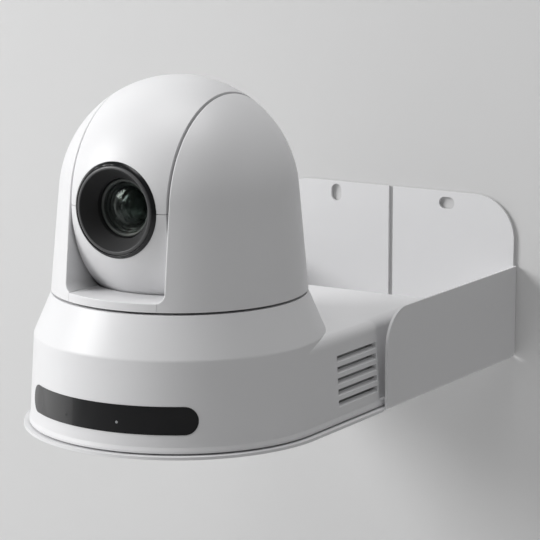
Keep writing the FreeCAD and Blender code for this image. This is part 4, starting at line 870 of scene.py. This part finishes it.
@dataclass
class LensUnit:
    """Black ring, funnel, stepped barrel and glass in the front of the tilt unit.

    Depths are distances ahead of the tilt axis, and radii are about the lens axis. A corner's steps say how
    far each point lies inwards and back from the corner, in millimetres.
    """

    ball: float = 62.5 * MM           # radius of the tilt unit
    shell: float = 2.0 * MM           # thickness of its shells
    ring_radius: float = 24.55 * MM
    ring_inner: float = 22.7 * MM
    ring_rise: float = 1.5 * MM       # from the ball's surface at the ring's outside to the ring's face
    ring_outer_steps: Profile = ((0.0, 1.4), (0.5, 0.8), (1.1, 0.25), (1.5, 0.0))
    ring_inner_steps: Profile = ((-0.3, 0.0), (0.0, 0.3))
    flange: float = 1.8 * MM          # how far the ring's flange reaches out behind the shells
    flange_gap: float = 0.2 * MM      # between the flange and the shells
    mouth: float = 20.9 * MM          # radius of the funnel's front
    mouth_chamfer: float = 0.1 * MM
    funnel_rear: float = 15.4 * MM    # radius of its back
    funnel_back: float = 51.2 * MM
    funnel_wall: float = 1.2 * MM
    funnel_bow: float = 0.25 * MM
    lip_ahead: float = 0.5 * MM       # from the ring's face to the lip's front
    lip_wall: float = 0.45 * MM       # thickness of the lip ahead of the funnel
    lip_seat: float = 0.6 * MM        # from the mouth out to the lip's skirt
    lip_slack: float = 0.05 * MM      # between the lip and the pieces beside it
    lip_outer_steps: Profile = ((0.0, 0.8), (0.3, 0.4), (0.9, 0.1))
    lip_inner_steps: Profile = ((-0.3, 0.1), (-0.05, 0.2))
    edge: float = 0.08 * MM           # width of the rounding of the ring's and the funnel's edges
    lip_edge: float = 0.06 * MM
    barrel_front: float = 49.3 * MM
    glass_wall: float = 0.6 * MM

    def build(self) -> None:
        """Turn the ring, the funnel, the barrel and the elements inside it."""
        self._ring()
        self._funnel()
        self._lip()
        self._barrel()
        self._glasses()
        self._iris()

    @property
    def centre(self) -> Vector:
        """The point of the tilt axis that the lens axis goes through."""
        shaft = middle("right_tilt_shaft")
        return Vector((0.0, shaft.y, shaft.z))

    @property
    def ring_front(self) -> float:
        """Depth of the ring's face."""
        return math.sqrt(self.ball ** 2 - self.ring_radius ** 2) + self.ring_rise

    @property
    def lip_front(self) -> float:
        """Depth of the lip's front."""
        return self.ring_front + self.lip_ahead

    def _turn(self, name: str, profile: Profile, edge: float = 0.0) -> Piece:
        """Shape a piece ring by ring about the lens axis, as on a lathe.

        Args:
            name: The piece's name.
            profile: Radius and depth of each ring. A radius of 0 closes an end, and a profile that ends
                where it starts is joined there.
            edge: Width of the rounding of sharp edges.

        Returns:
            The piece.
        """
        tip = 1e-5                  # stands for a radius of 0 while the rings are made
        Bench.clear()
        radius, depth = profile[0]
        bpy.ops.mesh.primitive_circle_add(vertices=ROUND_STEPS, radius=max(radius, tip),
                                          fill_type="NOTHING", location=(0.0, 0.0, depth))
        piece = bpy.context.object
        piece.name = name
        Bench.settle(piece)
        Bench.edit_all(piece)
        for next_radius, next_depth in profile[1:]:
            factor = max(next_radius, tip) / max(radius, tip)
            step = (0.0, 0.0, next_depth - depth)
            bpy.ops.mesh.extrude_region_move(TRANSFORM_OT_translate={"value": step})
            bpy.ops.transform.resize(value=(factor, factor, 1.0), center_override=(0.0, 0.0, 0.0))
            radius, depth = next_radius, next_depth
        Bench.pick_mode(piece, "OBJECT")
        for vertex in piece.data.vertices:
            if vertex.co.xy.length < 2 * tip:
                vertex.co.xy = (0.0, 0.0)
        Bench.outward(piece)
        piece.rotation_mode = "QUATERNION"
        piece.rotation_quaternion = AHEAD.to_track_quat("Z", "Y")
        piece.location = self.centre
        Bench.settle(piece)
        Bench.soften(piece, edge)
        return piece

    @staticmethod
    def _corner(radius: float, depth: float, steps: Profile) -> list[Point]:
        """Points of a profile round one corner.

        Args:
            radius: The corner's radius.
            depth: Its depth.
            steps: How far each point lies inwards and back from the corner, in millimetres.

        Returns:
            The points.
        """
        return [(radius - inward * MM, depth - back * MM) for inward, back in steps]

    def _ring(self) -> None:
        """Black ring with a softly rounded face and a flange behind the shells."""
        radius, inner, front = self.ring_radius, self.ring_inner, self.ring_front
        rim = radius + self.flange
        land = math.sqrt((self.ball - self.shell) ** 2 - rim ** 2) - self.flange_gap
        rear = land - self.flange / 2
        profile = [(inner, rear), (rim, rear), (rim, land), (radius, land),
                   *self._corner(radius, front, self.ring_outer_steps),
                   *self._corner(inner, front, self.ring_inner_steps), (inner, rear)]
        ring = self._turn("lens_ring", profile, self.edge)
        hand_over(ring, "lens_unit", RING_BLACK.material(), ["lens_bezel"])

    def _funnel(self) -> None:
        """Matt funnel from the lip in to the barrel, with a collar round the barrel."""
        front = self.lip_front - self.lip_wall - self.lip_slack
        chamfer, wall = self.mouth_chamfer, self.funnel_wall
        inner, rear = self.funnel_rear, self.funnel_back
        outer, collar = inner + wall, rear - 3 * wall
        seat = self.mouth + self.lip_seat
        brink = (self.mouth - chamfer, front - 2 * chamfer)
        profile = [(inner, collar), (outer, collar), (outer, rear - wall), (seat, self.lip_front - 2 * wall),
                   (seat, front), (self.mouth + chamfer, front), brink,
                   *arc(brink, (inner, rear), self.funnel_bow), (inner, collar)]
        funnel = self._turn("lens_funnel", profile, self.edge)
        hand_over(funnel, "lens_unit", FUNNEL_PLASTIC.material(), ["lens_hood"])

    def _lip(self) -> None:
        """Satin lip round the funnel's mouth, with a skirt outside the funnel."""
        front = self.lip_front
        back, skirt = front - self.lip_wall, front - 2 * self.funnel_wall
        outer = self.ring_inner - self.lip_slack
        seat = self.mouth + self.lip_seat + self.lip_slack
        profile = [(outer, skirt), *self._corner(outer, front, self.lip_outer_steps),
                   *self._corner(self.mouth, front, self.lip_inner_steps), (self.mouth, back),
                   (seat, back), (seat, skirt), (outer, skirt)]
        lip = self._turn("funnel_lip", profile, self.lip_edge)
        hand_over(lip, "lens_unit", LIP_PLASTIC.material())

    def _behind_front(self, outline: Profile) -> list[Point]:
        """Points given by radius and distance behind the barrel's front, in millimetres."""
        return [(radius * MM, self.barrel_front - back * MM) for radius, back in outline]

    def _barrel(self) -> None:
        """Barrel whose chamfered front holds the glass, and the two sleeves inside it."""
        for item in BARREL_PIECES:
            profile = self._behind_front(item.outline)
            piece = self._turn(item.name, [*profile, profile[0]], item.edge)
            hand_over(piece, "lens_unit", item.finish.material(), item.nodes)

    def _glasses(self) -> None:
        """Large domed front element, and three more that show dimly through it."""
        glass = coated_glass("coated_glass", tint=(0.11, 0.14, 0.125), haze_depth=0.16)
        hand_over(self._element(FRONT_GLASS), "lens_unit", glass, ["front_lens"])
        glass = coated_glass("coated_inner_glass", tint=(0.10, 0.125, 0.115), haze_depth=0.18)
        for item in INNER_GLASSES:
            hand_over(self._element(item), "lens_unit", glass)

    def _element(self, item: Element) -> Piece:
        """Turn one glass element."""
        radius, bow = item.radius * MM, item.bow * MM
        front = self.barrel_front - item.rim * MM
        back = front - self.glass_wall
        profile = [*reversed(self._crown(radius, back, bow)), (radius, back), (radius, front),
                   *self._crown(radius, front, bow)]
        return self._turn(item.name, profile)

    @staticmethod
    def _crown(radius: float, edge: float, bow: float) -> list[Point]:
        """Points of a spherical cap from its rim to its pole.

        Args:
            radius: Radius of the rim.
            edge: Depth of the rim.
            bow: Radius of the sphere, negative for a hollow.

        Returns:
            The points after the rim.
        """
        half = math.asin(radius / abs(bow))
        points = []
        for step in range(1, CROWN_STEPS + 1):
            angle = half * (1 - step / CROWN_STEPS)
            points.append((abs(bow) * math.sin(angle), edge + bow * (math.cos(angle) - math.cos(half))))
        return points

    def _iris(self) -> None:
        """Dark cone behind the last element."""
        iris = self._turn("iris_well", self._behind_front(IRIS_OUTLINE))
        hand_over(iris, "lens_unit", WELL_BLACK.material())


@dataclass(frozen=True)
class Lamp:
    """A square soft box that looks at the object."""

    name: str
    place: Triple
    size: float                       # length of its sides
    power: float                      # in watts

    def build(self) -> None:
        """Set the lamp up."""
        data = bpy.data.lights.new(self.name, "AREA")
        data.shape = "SQUARE"
        data.size = self.size
        data.energy = self.power
        lamp = bpy.data.objects.new(self.name, data)
        lamp.location = self.place
        aim = middle("base_housing") - Vector(self.place)
        lamp.rotation_euler = aim.to_track_quat("-Z", "Y").to_euler()
        bpy.context.scene.collection.objects.link(lamp)


@dataclass(frozen=True)
class Plane:
    """A painted plane of the room."""

    name: str
    place: Triple
    turn: float                       # about the X axis
    size: float                       # length of its sides
    grey: float
    patches: float                    # how much darker its faint patches are
    patch_size: float

    def build(self) -> tuple[Recipe, Socket]:
        """Add the plane.

        Returns:
            Its material, which has no surface yet, and the socket with its colour.
        """
        Bench.clear()
        bpy.ops.mesh.primitive_plane_add(size=self.size, location=self.place, rotation=(self.turn, 0.0, 0.0))
        plane = bpy.context.object
        plane.name = self.name
        Bench.settle(plane)
        recipe = Recipe(f"painted_{self.name}")
        dark = self.grey * (1.0 - self.patches)
        colour = recipe.blend(recipe.noise(self.patch_size), (dark,) * 3, (self.grey,) * 3)
        plane.data.materials.append(recipe.material)
        return recipe, colour


@dataclass
class Studio:
    """Camera, lamps, wall and floor of the picture."""

    azimuth: float = math.radians(31.88)
    elevation: float = math.radians(10.92)
    stand: Triple = (0.74544, -1.33596, 0.31428)
    focal: float = 173.55             # in millimetres, as is the sensor
    sensor: float = 36.0
    room: float = 0.165               # strength of the room's even light
    lamps: Sequence[Lamp] = (
        Lamp("key", (-1.50, -1.45, 1.00), 0.9, 32.0),
        Lamp("side", (-2.20, -0.80, -0.05), 1.7, 11.5),
        Lamp("overhead", (0.15, -0.35, 1.55), 1.0, 11.3),
    )
    wall: Plane = Plane("wall", (0.0, WALL_GAP, 0.0), math.pi / 2, size=6.0, grey=0.70,
                        patches=0.01, patch_size=0.3)
    floor: Plane = Plane("floor", (0.0, 0.0, FLOOR_HEIGHT), 0.0, size=8.0, grey=0.80,
                         patches=0.02, patch_size=0.4)
    floor_roughness: float = 0.8

    def build(self) -> None:
        """Set up the whole studio."""
        self._camera()
        for lamp in self.lamps:
            lamp.build()
        self._world()
        self._wall()
        self._floor()
        bpy.context.scene.view_settings.view_transform = "Standard"

    def _camera(self) -> None:
        """Camera at the photograph's viewing angle."""
        data = bpy.data.cameras.new("camera")
        data.lens = self.focal
        data.sensor_width = self.sensor
        camera = bpy.data.objects.new("camera", data)
        camera.location = self.stand
        camera.rotation_euler = (math.pi / 2 - self.elevation, 0.0, self.azimuth)
        bpy.context.scene.collection.objects.link(camera)
        bpy.context.scene.camera = camera

    def _world(self) -> None:
        """Even light of a pale room."""
        world = bpy.data.worlds.new("room")
        world.use_nodes = True
        background = world.node_tree.nodes["Background"]
        background.inputs["Color"].default_value = (1.0, 1.0, 1.0, 1.0)
        background.inputs["Strength"].default_value = self.room
        bpy.context.scene.world = world

    def _wall(self) -> None:
        """Pale wall that shows from the front only and throws no light back."""
        recipe, colour = self.wall.build()
        path = recipe.add("ShaderNodeLightPath")
        seen = Value(recipe, path.outputs["Is Camera Ray"]) + Value(recipe, path.outputs["Is Glossy Ray"])
        back = Value(recipe, recipe.add("ShaderNodeNewGeometry").outputs["Backfacing"])
        paint = recipe.add("ShaderNodeBsdfDiffuse", None, {"Color": colour})
        clear = recipe.add("ShaderNodeBsdfTransparent")
        mix = recipe.add("ShaderNodeMixShader", None,
                         {0: seen * (1.0 - back), 1: clear.outputs[0], 2: paint.outputs[0]})
        recipe.show(mix.outputs[0])

    def _floor(self) -> None:
        """Pale floor below the picture."""
        recipe, colour = self.floor.build()
        recipe.surface({"Base Color": colour, "Roughness": self.floor_roughness})


def main() -> None:
    """Dress the whole model."""
    logging.basicConfig(level=logging.INFO, format="%(message)s")
    dress_cad(frame["nodes"])
    for assembly in (WallBracket(), LensUnit(), Studio()):
        assembly.build()


if __name__ == "__main__":
    main()
